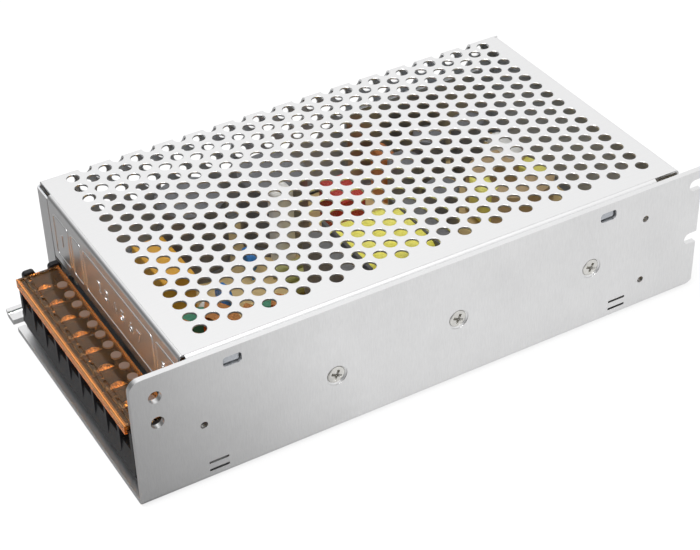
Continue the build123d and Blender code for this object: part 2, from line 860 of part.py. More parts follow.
def choke_windings(place, outer, inner, height, lift, turn=0.0):
    # Two windings on opposite halves of a ring core, standing on their wire ends
    windings = []
    foot = lift - winding_wire
    for middle in (turn, turn + 180):
        start = middle - winding_arc / 2
        winding = ring_winding(place, outer, inner, height, lift, start)
        for side in (-1, 1):
            angle = radians(middle + side * winding_arc * 0.4)
            reach = (outer + inner) / 2
            x, y, z = on_board(place)
            foot_at = (x + reach * cos(angle), y + reach * sin(angle), z)
            winding += rod(foot_at, (0, 0, 1), winding_wire / 2, foot)
        windings.append(winding)
    return windings


def make_can(place, radius, height):
    # An electrolytic capacitor: a can with a crimped groove near its foot
    x, y, z = on_board(place)
    can = rod((x, y, z), (0, 0, 1), radius, height)
    can = chamfer(can.edges().filter_by(GeomType.CIRCLE).sort_by(Axis.Z)[-1], radius * 0.1)
    groove = rod((x, y, z + can_groove_from_base), (0, 0, 1), radius + 1, can_groove_width)
    groove -= rod((x, y, z), (0, 0, 1), radius - can_groove_depth, height)
    return can - groove


def transformer_bottom():
    return board_top + transformer_core_lift


def make_transformer_core():
    # Two E-shaped halves: yokes at the ends, legs outside the winding, a post through it
    x, y = along(transformer_place[0]), across(transformer_place[1])
    length, width, height = transformer_core_size
    low = transformer_bottom()
    z_range = (low, low + height)
    core = slab(around(x, length), around(y, width), z_range)
    window = length - 2 * transformer_leg
    core -= slab(around(x, window), around(y, width + 1), z_range)
    post_z = around(low + height / 2, transformer_post)
    return core + slab(around(x, length), around(y, transformer_post), post_z)


def make_transformer_bobbin():
    # Two flanges and a tube that slides over the post, with a foot on the board
    x, y = along(transformer_place[0]), across(transformer_place[1])
    window = transformer_core_size[0] - 2 * transformer_leg
    middle = transformer_bottom() + transformer_core_size[2] / 2
    width, height = transformer_winding_size[1], transformer_winding_size[2]
    tube = transformer_post + 2 * transformer_flange
    bobbin = slab(around(x, window), around(y, tube), around(middle, tube))
    for side in (-1, 1):
        flange_x = x + side * (window - transformer_flange) / 2
        top = middle + height / 2
        bobbin += slab(around(flange_x, transformer_flange), around(y, width), (board_top, top))
    post = slab(around(x, window), around(y, transformer_post), around(middle, transformer_post))
    return bobbin - post


def make_transformer_winding():
    # The taped winding between the bobbin's flanges
    x, y = along(transformer_place[0]), across(transformer_place[1])
    window = transformer_core_size[0] - 2 * transformer_leg - 2 * transformer_flange
    middle = transformer_bottom() + transformer_core_size[2] / 2
    width, height = transformer_winding_size[1], transformer_winding_size[2]
    tube = transformer_post + 2 * transformer_flange
    winding = slab(around(x, window), around(y, width - 1), around(middle, height - 1))
    winding = fillet(winding.edges().filter_by(Axis.X), transformer_winding_radius)
    return winding - slab(around(x, window), around(y, tube), around(middle, tube))


def make_heatsink():
    # A bent plate on the board along the perforated wall
    x_range = (along(heatsink_from_front), along(heatsink_from_front) + heatsink_length)
    outer = board_far - heatsink_side_gap
    sink = slab(x_range, (outer - heatsink_sheet, outer), (board_top, board_top + heatsink_height))
    return sink + slab(x_range, (outer - heatsink_foot, outer), (board_top, board_top + heatsink_sheet))


def wall_range(depth, start):
    # The limits across the case of something that starts a distance inside the side wall
    low = y_near + chassis_sheet + start
    return (low, low + depth)


def package(x, z, width, height, lead_count):
    # A flat power package against its pad, with its leads on the board
    y_range = wall_range(package_thickness, pad_thickness)
    body = slab(around(x, width), y_range, around(z, height))
    front_edges = body.faces().sort_by(Axis.Y)[-1].edges()
    body = chamfer(front_edges, package_chamfer)
    for number in range(lead_count):
        lead_x = x + (number - (lead_count - 1) / 2) * lead_pitch
        lead_y = wall_range(lead_thickness, pad_thickness + package_thickness - 1.4)
        body += slab(around(lead_x, lead_width), lead_y, (board_top, z))
    return body


def package_level():
    return board_top + package_lift + package_height / 2


def make_bridge_rectifier():
    x, z = along(clamp_screw_from_front[0]), clamp_screw_heights[0]
    body = package(x, z, bridge_width, bridge_height, 4)
    return body - rod((x, y_near, z), (0, 1, 0), clamp_screw_radius + clamp_screw_play, 20)


def package_pair(number):
    x = along(clamp_screw_from_front[number])
    places = around(x, package_spacing)
    return [package(place, package_level(), package_width, package_height, 3) for place in places]


def make_insulating_pads():
    # One thin pad behind each screw's packages
    pads = []
    sizes = [(bridge_width, bridge_height)]
    pair_width = package_spacing + package_width
    sizes += [(pair_width, package_height)] * 2
    levels = (clamp_screw_heights[0], package_level(), package_level())
    for number, (width, height) in enumerate(sizes):
        x, z = along(clamp_screw_from_front[number]), clamp_screw_heights[number]
        x_range = around(x, width + pad_border)
        pad = slab(x_range, wall_range(pad_thickness, 0), around(levels[number], height + pad_border))
        pads.append(pad - rod((x, y_near, z), (0, 1, 0), clamp_screw_radius + clamp_screw_play, 20))
    return pads


def make_clamp_bars():
    # Steel bars that the screws pull towards the wall, over the packages
    bars = []
    pair_bar = package_spacing + 2 * clamp_bar_overhang
    widths = (bridge_width * 0.7, pair_bar, pair_bar)
    y_range = wall_range(clamp_bar_thickness, pad_thickness + package_thickness)
    for number, width in enumerate(widths):
        x, z = along(clamp_screw_from_front[number]), clamp_screw_heights[number]
        bar = slab(around(x, width), y_range, around(z, clamp_bar_height))
        bar = fillet(bar.edges().filter_by(Axis.Y), 1.5)
        bars.append(bar - rod((x, y_near, z), (0, 1, 0), clamp_screw_radius, 20))
    return bars


def make_clamp_screws():
    screws = []
    for x, z in zip(clamp_screw_from_front, clamp_screw_heights):
        face = (along(x), y_near + clamp_screw_recess, z)
        head = (clamp_screw_head_radius, clamp_screw_head)
        screws.append(flat_head(face, (0, 1, 0), *head, clamp_screw_radius, clamp_screw_length))
    return screws


def make_control_chip():
    x, y, z = on_board(chip_place, chip_lift)
    chip = slab(around(x, chip_size[0]), around(y, chip_size[1]), (z, z + chip_size[2]))
    for side in (-1, 1):
        row_y = y + side * (chip_size[1] + chip_leg) / 2
        leg_z = (board_top, z + chip_size[2] / 2)
        chip += slab(around(x, chip_size[0] - 2), around(row_y, chip_leg), leg_z)
    return chip


def make_resistors():
    parts = []
    for place in resistor_places:
        x, y, z = on_board(place, resistor_lift + resistor_radius)
        body = rod((x - resistor_length / 2, y, z), (1, 0, 0), resistor_radius, resistor_length)
        for side in (-1, 1):
            lead_x = x + side * (resistor_length + resistor_lead) / 2
            body += slab(around(lead_x, resistor_lead), around(y, resistor_lead), (board_top, z))
        parts.append(body)
    return parts


def glue_dab(place, size):
    # A soft dab on the board with its upright edges and top rounded
    x, y, z = on_board(place)
    dab = slab(around(x, size[0]), around(y, size[1]), (z, z + size[2]))
    rounded = dab.edges().filter_by(Axis.Z) + dab.faces().sort_by(Axis.Z)[-1].edges()
    return fillet(rounded, glue_rounding)


def make_glue():
    # White glue that steadies the tall parts, moulded to the can and the choke that it holds
    can = rod(on_board(bulk_places[1]), (0, 0, 1), bulk_radius, bulk_height)
    place, outer, _, height, lift = output_choke
    choke = rod(on_board(place), (0, 0, 1), outer + winding_wire, lift + height + winding_wire)
    return [
        glue_dab(*fuse_side_glue),
        glue_dab(*bulk_can_glue) - can,
        glue_dab(*output_choke_glue) - choke,
    ]


# Every separate piece, by name
pieces = {
    "chassis": make_chassis(),
    "mesh_cover": make_mesh_cover(),
    "cover_screws": make_cover_screws(),
    "insulating_film": make_insulating_film(),
    "circuit_board": make_circuit_board(),
    "board_spacers": make_spacers(),
    "board_screws": make_board_screws(),
    "terminal_block": make_terminal_block(),
    "contact_plates": make_contact_plates(),
    "clamp_washers": make_clamp_washers(),
    "terminal_screws": make_terminal_screws(),
    "terminal_flap": make_terminal_flap(),
    "trimmer_body": make_trimmer_body(),
    "trimmer_rotor": make_trimmer_rotor(),
    "indicator_led": make_indicator_led(),
    "fuse": make_fuse(),
    "fuse_clips": make_fuse_clips(),
    "thermistor": disc_part(thermistor_place, thermistor_radius, thermistor_thickness, thermistor_lift),
    "filter_capacitor": make_film_box(),
    "y_capacitors": [
        disc_part(place, y_capacitor_radius, y_capacitor_thickness, y_capacitor_lift)
        for place in y_capacitor_places
    ],
    "line_choke_core": ring_core(*line_choke),
    "line_choke_windings": choke_windings(*line_choke),
    "small_choke_core": ring_core(*small_choke),
    "small_choke_windings": choke_windings(*small_choke),
    "output_choke_core": ring_core(*output_choke),
    "output_choke_windings": choke_windings(*output_choke, output_choke_turn),
    "bulk_capacitors": [make_can(place, bulk_radius, bulk_height) for place in bulk_places],
    "output_capacitors": [
        make_can(place, output_can_radius, output_can_height) for place in output_can_places
    ],
    "transformer_core": make_transformer_core(),
    "transformer_bobbin": make_transformer_bobbin(),
    "transformer_winding": make_transformer_winding(),
    "red_capacitor": board_box(red_box_place, red_box_size, box_rounding),
    "brown_capacitor": board_box(brown_box_place, brown_box_size, box_rounding),
    "heatsink": make_heatsink(),
    "bridge_rectifier": make_bridge_rectifier(),
    "switching_transistors": package_pair(1),
    "output_rectifiers": package_pair(2),
    "insulating_pads": make_insulating_pads(),
    "clamp_bars": make_clamp_bars(),
    "clamp_screws": make_clamp_screws(),
    "control_chip": make_control_chip(),
    "resistors": make_resistors(),
    "fixing_glue": make_glue(),
}

os.makedirs("parts", exist_ok=True)
for name, piece in pieces.items():
    solids = piece if isinstance(piece, list) else [piece]
    shape = solids[0] if len(solids) == 1 else Compound(children=solids)
    export_step(shape, f"parts/{name}.step")
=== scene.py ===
from math import cos, floor, pi, radians, sin

import bmesh
import bpy
from mathutils import Euler, Matrix, Vector


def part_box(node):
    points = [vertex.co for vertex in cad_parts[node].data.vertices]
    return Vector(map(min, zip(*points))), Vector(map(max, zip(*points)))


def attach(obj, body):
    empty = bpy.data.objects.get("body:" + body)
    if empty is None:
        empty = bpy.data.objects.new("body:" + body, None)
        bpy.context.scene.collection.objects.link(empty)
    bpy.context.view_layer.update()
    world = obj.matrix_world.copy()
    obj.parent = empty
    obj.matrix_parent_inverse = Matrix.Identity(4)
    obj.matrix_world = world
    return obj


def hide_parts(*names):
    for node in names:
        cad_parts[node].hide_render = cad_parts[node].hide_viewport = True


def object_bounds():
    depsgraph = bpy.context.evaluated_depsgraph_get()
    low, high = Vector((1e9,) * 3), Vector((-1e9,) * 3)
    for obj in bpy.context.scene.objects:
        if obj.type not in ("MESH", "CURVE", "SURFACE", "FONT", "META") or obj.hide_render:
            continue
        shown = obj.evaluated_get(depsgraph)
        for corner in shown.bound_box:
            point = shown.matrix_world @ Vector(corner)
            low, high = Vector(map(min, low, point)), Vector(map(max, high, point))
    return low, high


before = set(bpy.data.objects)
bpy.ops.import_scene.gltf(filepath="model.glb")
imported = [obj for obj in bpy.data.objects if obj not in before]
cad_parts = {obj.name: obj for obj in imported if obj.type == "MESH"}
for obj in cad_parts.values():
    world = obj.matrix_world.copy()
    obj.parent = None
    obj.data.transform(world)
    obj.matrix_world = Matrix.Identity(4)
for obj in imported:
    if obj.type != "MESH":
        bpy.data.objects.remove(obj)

# Mesh case switching power supply. Everything is in metres, in the frame's own axes: X from the
# terminals to the rear, Y from the solid wall to the perforated one, Z up.
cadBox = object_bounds()
mm = 0.001
mergeGap = 0.002 * mm  # corners of a CAD mesh nearer than this are one
scene = bpy.context.scene


def put(tree, kind, inputs=None, **options):
    # adds a node: options are its properties, inputs are values or sockets to link
    node = tree.nodes.new(kind)
    for option, value in options.items():
        setattr(node, option, value)
    for socket, value in (inputs or {}).items():
        if isinstance(value, bpy.types.NodeSocket):
            tree.links.new(value, node.inputs[socket])
        else:
            node.inputs[socket].default_value = value
    return node


def maths(tree, a, b, operation="ADD"):
    # two values through a Math node, added unless another operation is named
    return put(tree, "ShaderNodeMath", {0: a, 1: b}, operation=operation).outputs[0]


def rounded(tree, value):
    return put(tree, "ShaderNodeMath", {0: value}, operation="ROUND").outputs[0]


def axes(tree, vector=None):
    # X, Y and Z of a vector, or of the place on the piece itself
    if vector is None:
        vector = put(tree, "ShaderNodeTexCoord").outputs["Object"]
    return put(tree, "ShaderNodeSeparateXYZ", {0: vector}).outputs


def meshPiece(name, bm):
    # turns a bmesh into an object at the origin
    mesh = bpy.data.meshes.new(name)
    bm.to_mesh(mesh)
    bm.free()
    piece = bpy.data.objects.new(name, mesh)
    scene.collection.objects.link(piece)
    return piece


def settle(piece):
    # bakes the modifiers into a plain mesh
    depsgraph = bpy.context.evaluated_depsgraph_get()
    mesh = bpy.data.meshes.new_from_object(piece.evaluated_get(depsgraph))
    piece.modifiers.clear()
    old = piece.data
    piece.data = mesh
    if old.users == 0:
        bpy.data.meshes.remove(old)
    return piece


def smooth(piece, angle=35):
    piece.data.shade_smooth()
    piece.data.set_sharp_from_angle(angle=radians(angle))
    return piece


def evenShading(piece):
    # normals follow the large faces, so that flat sheet looks flat beside its round edges
    weighted = piece.modifiers.new("normals", "WEIGHTED_NORMAL")
    weighted.mode = "FACE_AREA"
    weighted.keep_sharp = True
    return settle(piece)


def eased(piece, width, steps=2, angle=35):
    # small round edges, as real parts have
    bevel = piece.modifiers.new("edges", "BEVEL")
    bevel.width = width
    bevel.segments = steps
    bevel.limit_method = "ANGLE"
    bevel.angle_limit = radians(angle)
    return settle(piece)


def dressedCopy(node, name, edge=0.0, steps=2):
    # a finished copy of a CAD node: merged, flat faces joined, edges eased
    bm = bmesh.new()
    bm.from_mesh(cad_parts[node].data)
    bmesh.ops.remove_doubles(bm, verts=bm.verts, dist=mergeGap)
    bmesh.ops.dissolve_limit(bm, angle_limit=radians(1), verts=bm.verts, edges=bm.edges)
    piece = meshPiece(name, bm)
    if edge:
        eased(piece, edge, steps)
    return evenShading(smooth(piece))


def finish(piece, material, node, slot, body="case"):
    # material, body, and the CAD node that the piece stands for
    if material:
        piece.data.materials.clear()
        piece.data.materials.append(material)
    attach(piece, body)
    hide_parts(node)


def addBox(bm, low, high, edge=0.0):
    made = bmesh.ops.create_cube(bm, size=1)["verts"]
    size = [h - l for l, h in zip(low, high)]
    middle = [(h + l) / 2 for l, h in zip(low, high)]
    for vert in made:
        vert.co = Vector([c * s + m for c, s, m in zip(vert.co, size, middle)])
    if edge:
        edges = list({e for v in made for e in v.link_edges})
        bmesh.ops.bevel(bm, geom=edges, offset=edge, segments=2, affect="EDGES", profile=0.5)


def addRing(bm, radius, height, count):
    angles = [2 * pi * step / count for step in range(count)]
    return [bm.verts.new((radius * cos(a), radius * sin(a), height)) for a in angles]


def addLathe(bm, profile, turns=32):
    # profile is (radius, height) from the axis below to the axis above
    rings = []
    for radius, height in profile:
        rings.append(addRing(bm, radius, height, turns if radius else 1))
    for lower, upper in zip(rings, rings[1:]):
        for step in range(turns):
            following = (step + 1) % turns
            if len(lower) == 1:
                bm.faces.new((lower[0], upper[following], upper[step]))
            elif len(upper) == 1:
                bm.faces.new((lower[step], lower[following], upper[0]))
            else:
                bm.faces.new((lower[step], lower[following], upper[following], upper[step]))


def startMaterial(name):
    material = bpy.data.materials.new(name)
    material.use_nodes = True
    tree = material.node_tree
    tree.nodes.clear()
    shader = put(tree, "ShaderNodeBsdfPrincipled")
    put(tree, "ShaderNodeOutputMaterial", {"Surface": shader.outputs[0]})
    return material, tree, shader


def coordinates(tree, stretch=(1, 1, 1)):
    place = put(tree, "ShaderNodeTexCoord").outputs["Object"]
    return put(tree, "ShaderNodeMapping", {"Vector": place, "Scale": stretch}).outputs[0]


def noise(tree, vector, scale, detail=3, roughness=0.5):
    values = {"Vector": vector, "Scale": scale, "Detail": detail, "Roughness": roughness}
    return put(tree, "ShaderNodeTexNoise", values).outputs["Fac"]


def remap(tree, value, low, high, fromLow=0.3, fromHigh=0.7):
    values = {"Value": value, "From Min": fromLow, "From Max": fromHigh, "To Min": low, "To Max": high}
    return put(tree, "ShaderNodeMapRange", values).outputs[0]


def blendColour(tree, factor, a, b):
    mix = put(tree, "ShaderNodeMix", {"Factor": factor}, data_type="RGBA")
    for socket, value in ((6, a), (7, b)):
        if isinstance(value, bpy.types.NodeSocket):
            tree.links.new(value, mix.inputs[socket])
        else:
            mix.inputs[socket].default_value = (*value, 1)
    return mix.outputs[2]


def bump(tree, height, distance, strength):
    values = {"Height": height, "Distance": distance, "Strength": strength}
    return put(tree, "ShaderNodeBump", values).outputs[0]


def grainedMetal(name, colour, spread, rough, stretch, blotch=60, grain=0.004):
    # sheet metal with rolling grain along one axis and soft cloudy patches
    material, tree, shader = startMaterial(name)
    lines = noise(tree, coordinates(tree, stretch), 1, 4, 0.6)
    clouds = noise(tree, coordinates(tree), blotch, 3, 0.55)
    dark = [c * (1 - spread) for c in colour]
    light = [min(1, c * (1 + spread)) for c in colour]
    mixed = maths(tree, remap(tree, lines, 0, 0.55), remap(tree, clouds, 0, 0.45))
    tone = blendColour(tree, mixed, dark, light)
    tree.links.new(tone, shader.inputs["Base Color"])
    shader.inputs["Metallic"].default_value = 1
    tree.links.new(remap(tree, mixed, rough[1], rough[0], 0, 1), shader.inputs["Roughness"])
    tree.links.new(bump(tree, lines, grain * mm, 0.5), shader.inputs["Normal"])
    return material


def withinBox(tree, box, skin):
    # 1 for points deeper than a skin under the front, rear, far and top faces of a box, 0 elsewhere
    low, high = box
    place = axes(tree)
    inside = maths(tree, place[0], low.x + skin, "GREATER_THAN")
    for axis in (0, 1, 2):
        below = maths(tree, place[axis], high[axis] - skin, "LESS_THAN")
        inside = maths(tree, inside, below, "MULTIPLY")
    return inside


# The cover's sheet: outside, the values of a grained metal; inside, a darker, cooler colour that is painted
# shade, and how dull it is
coverLook = {
    "outside": ((0.80, 0.80, 0.803), 0.02, (0.33, 0.41), (90, 1800, 400), 25, 0.001),
    "inside": (0.46, 0.48, 0.51), "insideDulling": 0.35, "insideMetallic": 0.2, "skin": 0.75 * mm,
}


def coverSheetMetal():
    # bright outside; inside, the same sheet painted darker and cooler as shade, duller and less metallic
    look = coverLook
    material = grainedMetal("coverMetal", *look["outside"])
    tree = material.node_tree
    shader = next(node for node in tree.nodes if node.type == "BSDF_PRINCIPLED")
    inside = withinBox(tree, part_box("mesh_cover"), look["skin"])
    tone = shader.inputs["Base Color"].links[0].from_socket
    gloss = shader.inputs["Roughness"].links[0].from_socket
    dulling = maths(tree, inside, look["insideDulling"], "MULTIPLY")
    # the inside's darker, cooler colour is painted shade
    tree.links.new(blendColour(tree, inside, tone, look["inside"]), shader.inputs["Base Color"])
    tree.links.new(maths(tree, gloss, dulling), shader.inputs["Roughness"])
    tree.links.new(remap(tree, inside, 1.0, look["insideMetallic"], 0, 1), shader.inputs["Metallic"])
    return material


def mottled(name, colour, other, scale, rough=(0.4, 0.55), bumpDepth=0.02, specular=0.5):
    # moulded, dipped or sintered surfaces: two close tones, uneven gloss and a fine skin
    material, tree, shader = startMaterial(name)
    patches = noise(tree, coordinates(tree), scale, 4, 0.55)
    fine = noise(tree, coordinates(tree), scale * 6, 3, 0.5)
    tone = blendColour(tree, remap(tree, patches, 0, 1), colour, other)
    tree.links.new(tone, shader.inputs["Base Color"])
    tree.links.new(remap(tree, fine, *rough), shader.inputs["Roughness"])
    shader.inputs["Specular IOR Level"].default_value = specular
    tree.links.new(bump(tree, fine, bumpDepth * mm, 0.6), shader.inputs["Normal"])
    return material


def hammeredMetal(name, colour, scale, depth):
    # plated screws with an uneven skin that glints
    material, tree, shader = startMaterial(name)
    dents = noise(tree, coordinates(tree), scale, 2, 0.4)
    dark = [c * 0.85 for c in colour]
    tree.links.new(blendColour(tree, remap(tree, dents, 0, 1), dark, colour), shader.inputs["Base Color"])
    shader.inputs["Metallic"].default_value = 0.8
    tree.links.new(remap(tree, dents, 0.40, 0.24), shader.inputs["Roughness"])
    tree.links.new(bump(tree, dents, depth * mm, 0.9), shader.inputs["Normal"])
    return material


# The lid over the terminals. Its round frosted marks stand in one row, placed from the front and near side
flapLook = {
    "markFromFront": 12.9 * mm, "firstFromNear": 17.4 * mm, "markPitch": 6.28 * mm, "marks": 12,
    "markRadius": 1.9 * mm, "markFade": 0.3 * mm, "rimWidth": 1.6 * mm,
    "deep": (1.0, 0.50, 0.16), "bright": (1.0, 0.58, 0.23), "rimTint": (1.0, 0.40, 0.09),
    "markTint": (0.40, 0.27, 0.21), "clearness": 0.985, "markCloud": 0.28, "rimCloud": 0.11, "ior": 1.36,
}


def flapMarks(tree, place):
    # 1 on the frosted marks, a row of round spots, and 0 between them
    look = flapLook
    fromFirst = maths(tree, place[1], cadBox[0].y + look["firstFromNear"], "SUBTRACT")
    step = maths(tree, fromFirst, look["markPitch"], "DIVIDE")
    limits = {"Value": rounded(tree, step), "Min": 0.0, "Max": look["marks"] - 1.0}
    number = put(tree, "ShaderNodeClamp", limits).outputs[0]
    besideY = maths(tree, maths(tree, number, step, "SUBTRACT"), look["markPitch"], "MULTIPLY")
    besideX = maths(tree, place[0], cadBox[0].x + look["markFromFront"], "SUBTRACT")
    away = maths(tree, maths(tree, besideX, 2.0, "POWER"), maths(tree, besideY, 2.0, "POWER"))
    away = maths(tree, away, 0.5, "POWER")
    return remap(tree, away, 1, 0, look["markRadius"] - look["markFade"], look["markRadius"])


def flapRim(tree, place):
    # 1 along the raised rim, which holds more light than the thin middle, fading to 0 inside it
    low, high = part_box("terminal_flap")
    edge = maths(tree, place[0], low.x, "SUBTRACT")
    for axis, limit in ((0, high.x), (1, high.y)):
        edge = maths(tree, edge, maths(tree, limit, place[axis], "SUBTRACT"), "MINIMUM")
    edge = maths(tree, edge, maths(tree, place[1], low.y, "SUBTRACT"), "MINIMUM")
    return remap(tree, edge, 1, 0, flapLook["rimWidth"] * 0.5, flapLook["rimWidth"])


def clearOrange():
    # the moulded lid: clear amber, cloudier at its rim and on its frosted marks
    look = flapLook
    material, tree, shader = startMaterial("clearOrange")
    haze = noise(tree, coordinates(tree), 260, 3, 0.5)
    place = axes(tree)
    mark, rim = flapMarks(tree, place), flapRim(tree, place)
    tone = blendColour(tree, remap(tree, haze, 0, 1), look["deep"], look["bright"])
    tone = blendColour(tree, rim, tone, look["rimTint"])
    tone = blendColour(tree, mark, tone, look["markTint"])
    tree.links.new(tone, shader.inputs["Base Color"])
    markCloud = maths(tree, mark, look["markCloud"], "MULTIPLY")
    cloud = maths(tree, markCloud, maths(tree, rim, look["rimCloud"], "MULTIPLY"), "MAXIMUM")
    tree.links.new(maths(tree, look["clearness"], cloud, "SUBTRACT"), shader.inputs["Transmission Weight"])
    shader.inputs["IOR"].default_value = look["ior"]
    tree.links.new(remap(tree, mark, 0.03, 0.45, 0, 1), shader.inputs["Roughness"])
    tree.links.new(bump(tree, haze, 0.008 * mm, 0.3), shader.inputs["Normal"])
    return material


# the board's tones; the near-black one is painted shade for its underside and its front part
boardLook = {
    "tan": (0.72, 0.53, 0.25), "pale": (0.82, 0.63, 0.32), "paintedShade": (0.045, 0.053, 0.062),
    "frontShadeReach": 33.0 * mm,
}


def laminate():
    # tan board with mottling and the weave of the cloth; its solder side, which carries resist, and its front
    # part are painted near-black as the shade under the board and under the terminal block and the cover's
    # front plate
    look = boardLook
    material, tree, shader = startMaterial("laminate")
    patches = noise(tree, coordinates(tree), 90, 3)
    cloth = {"Vector": coordinates(tree), "Scale": 900.0, "Distortion": 1.5}
    weave = put(tree, "ShaderNodeTexWave", cloth).outputs[1]
    tone = blendColour(tree, remap(tree, patches, 0, 1), look["tan"], look["pale"])
    # the underside and the front part take the painted shade tone, the rest is tan
    upward = axes(tree, put(tree, "ShaderNodeNewGeometry").outputs["True Normal"])[2]
    above = maths(tree, upward, 0.5, "GREATER_THAN")
    behind = maths(tree, axes(tree)[0], cadBox[0].x + look["frontShadeReach"], "GREATER_THAN")
    unshaded = maths(tree, above, behind, "MULTIPLY")
    tree.links.new(blendColour(tree, unshaded, look["paintedShade"], tone), shader.inputs["Base Color"])
    shader.inputs["Roughness"].default_value = 0.45
    tree.links.new(bump(tree, weave, 0.01 * mm, 0.3), shader.inputs["Normal"])
    return material


# Colour, its spread, roughness, stretch of the grain, and where needed patch size and depth of the grain
metals = {
    "wallMetal": ((0.78, 0.78, 0.783), 0.07, (0.30, 0.40), (3400, 3400, 420), 38, 0.002),
    "screwSteel": ((0.70, 0.69, 0.66), 0.10, (0.14, 0.26), (900, 900, 900), 300),
    "contactMetal": ((0.72, 0.70, 0.66), 0.10, (0.20, 0.32), (700, 1500, 700), 200),
    "sinkMetal": ((0.58, 0.59, 0.60), 0.10, (0.32, 0.45), (60, 1500, 1500)),
    "spacerSteel": ((0.55, 0.55, 0.54), 0.10, (0.25, 0.40), (900, 900, 900), 300),
    "rotorBrass": ((0.72, 0.56, 0.28), 0.10, (0.22, 0.36), (900, 900, 900), 300),
    "copperWire": ((0.78, 0.34, 0.12), 0.15, (0.20, 0.34), (500, 500, 500), 200),
}

# Two tones, scale of the pattern, and where needed roughness, depth of the skin and specular level
moulded = {
    "blackPlastic": ((0.008, 0.008, 0.009), (0.015, 0.015, 0.017), 300, (0.26, 0.38), 0.006, 0.25),
    # the insulating film is real; its near-black tone is painted shade for the gap under the board
    "darkSheet": ((0.035, 0.035, 0.038), (0.055, 0.055, 0.06), 120, (0.35, 0.5)),
    "trimmerBlue": ((0.03, 0.12, 0.50), (0.05, 0.17, 0.58), 500, (0.3, 0.45)),
    "ledGreen": ((0.16, 0.60, 0.20), (0.22, 0.70, 0.26), 500, (0.12, 0.2), 0.002),
    "fuseTube": ((0.80, 0.79, 0.74), (0.87, 0.86, 0.82), 300, (0.2, 0.3)),
    "discGreen": ((0.05, 0.13, 0.08), (0.09, 0.19, 0.11), 400, (0.3, 0.5)),
    "blockYellow": ((0.84, 0.42, 0.045), (0.90, 0.50, 0.07), 250, (0.3, 0.42)),
    "discBlue": ((0.04, 0.24, 0.70), (0.08, 0.32, 0.80), 400, (0.2, 0.35)),
    "ringGreen": ((0.05, 0.26, 0.15), (0.09, 0.34, 0.21), 350, (0.35, 0.5)),
    "ringYellow": ((0.92, 0.86, 0.16), (0.97, 0.92, 0.26), 350, (0.35, 0.5)),
    "enamelTan": ((0.50, 0.36, 0.20), (0.62, 0.46, 0.27), 300, (0.25, 0.4)),
    "darkSleeve": ((0.17, 0.175, 0.19), (0.22, 0.225, 0.24), 200, (0.25, 0.4), 0.006),
    "ferrite": ((0.15, 0.15, 0.16), (0.20, 0.20, 0.21), 500, (0.4, 0.6), 0.02),
    "bobbinBlack": ((0.09, 0.09, 0.095), (0.12, 0.12, 0.125), 300, (0.35, 0.5)),
    "tapeYellow": ((0.92, 0.84, 0.10), (0.98, 0.92, 0.22), 160, (0.2, 0.35)),
    "dipRed": ((0.50, 0.035, 0.025), (0.60, 0.06, 0.04), 300, (0.2, 0.35)),
    "dipBrown": ((0.50, 0.17, 0.05), (0.60, 0.23, 0.08), 300, (0.25, 0.4)),
    "packageBlack": ((0.06, 0.06, 0.062), (0.09, 0.09, 0.092), 500, (0.4, 0.55)),
    "padGrey": ((0.52, 0.53, 0.55), (0.60, 0.61, 0.63), 300, (0.5, 0.6)),
    "coatOlive": ((0.36, 0.36, 0.12), (0.45, 0.44, 0.18), 400, (0.35, 0.5)),
    "glueWhite": ((0.93, 0.93, 0.91), (0.97, 0.97, 0.96), 200, (0.3, 0.45), 0.1),
}

finishes = {name: grainedMetal(name, *values) for name, values in metals.items()}
for name, values in moulded.items():
    finishes[name] = mottled(name, *values)
finishes["coverMetal"] = coverSheetMetal()
finishes["terminalSteel"] = hammeredMetal("terminalSteel", (1.0, 0.95, 0.86), 800, 1.3)
finishes["clearOrange"] = clearOrange()
finishes["laminate"] = laminate()
print("materials made")


def newTree(name, inputs):
    tree = bpy.data.node_groups.new(name, "GeometryNodeTree")
    tree.interface.new_socket(name="Geometry", in_out="INPUT", socket_type="NodeSocketGeometry")
    for socket, kind in inputs:
        tree.interface.new_socket(name=socket, in_out="INPUT", socket_type=f"NodeSocket{kind}")
    tree.interface.new_socket(name="Geometry", in_out="OUTPUT", socket_type="NodeSocketGeometry")
    start = put(tree, "NodeGroupInput")
    return tree, start.outputs


def endTree(tree, geometry, material):
    real = put(tree, "GeometryNodeRealizeInstances", {"Geometry": geometry}).outputs[0]
    painted = put(tree, "GeometryNodeSetMaterial", {"Geometry": real, "Material": material}).outputs[0]
    put(tree, "NodeGroupOutput", {"Geometry": painted})


def runTree(piece, tree, values):
    # sets the tree's inputs by identifier, then bakes the result
    modifier = piece.modifiers.new(tree.name, "NODES")
    modifier.node_group = tree
    for item in tree.interface.items_tree:
        if item.in_out == "INPUT" and item.name in values:
            modifier[item.identifier] = values[item.name]
    return settle(piece)


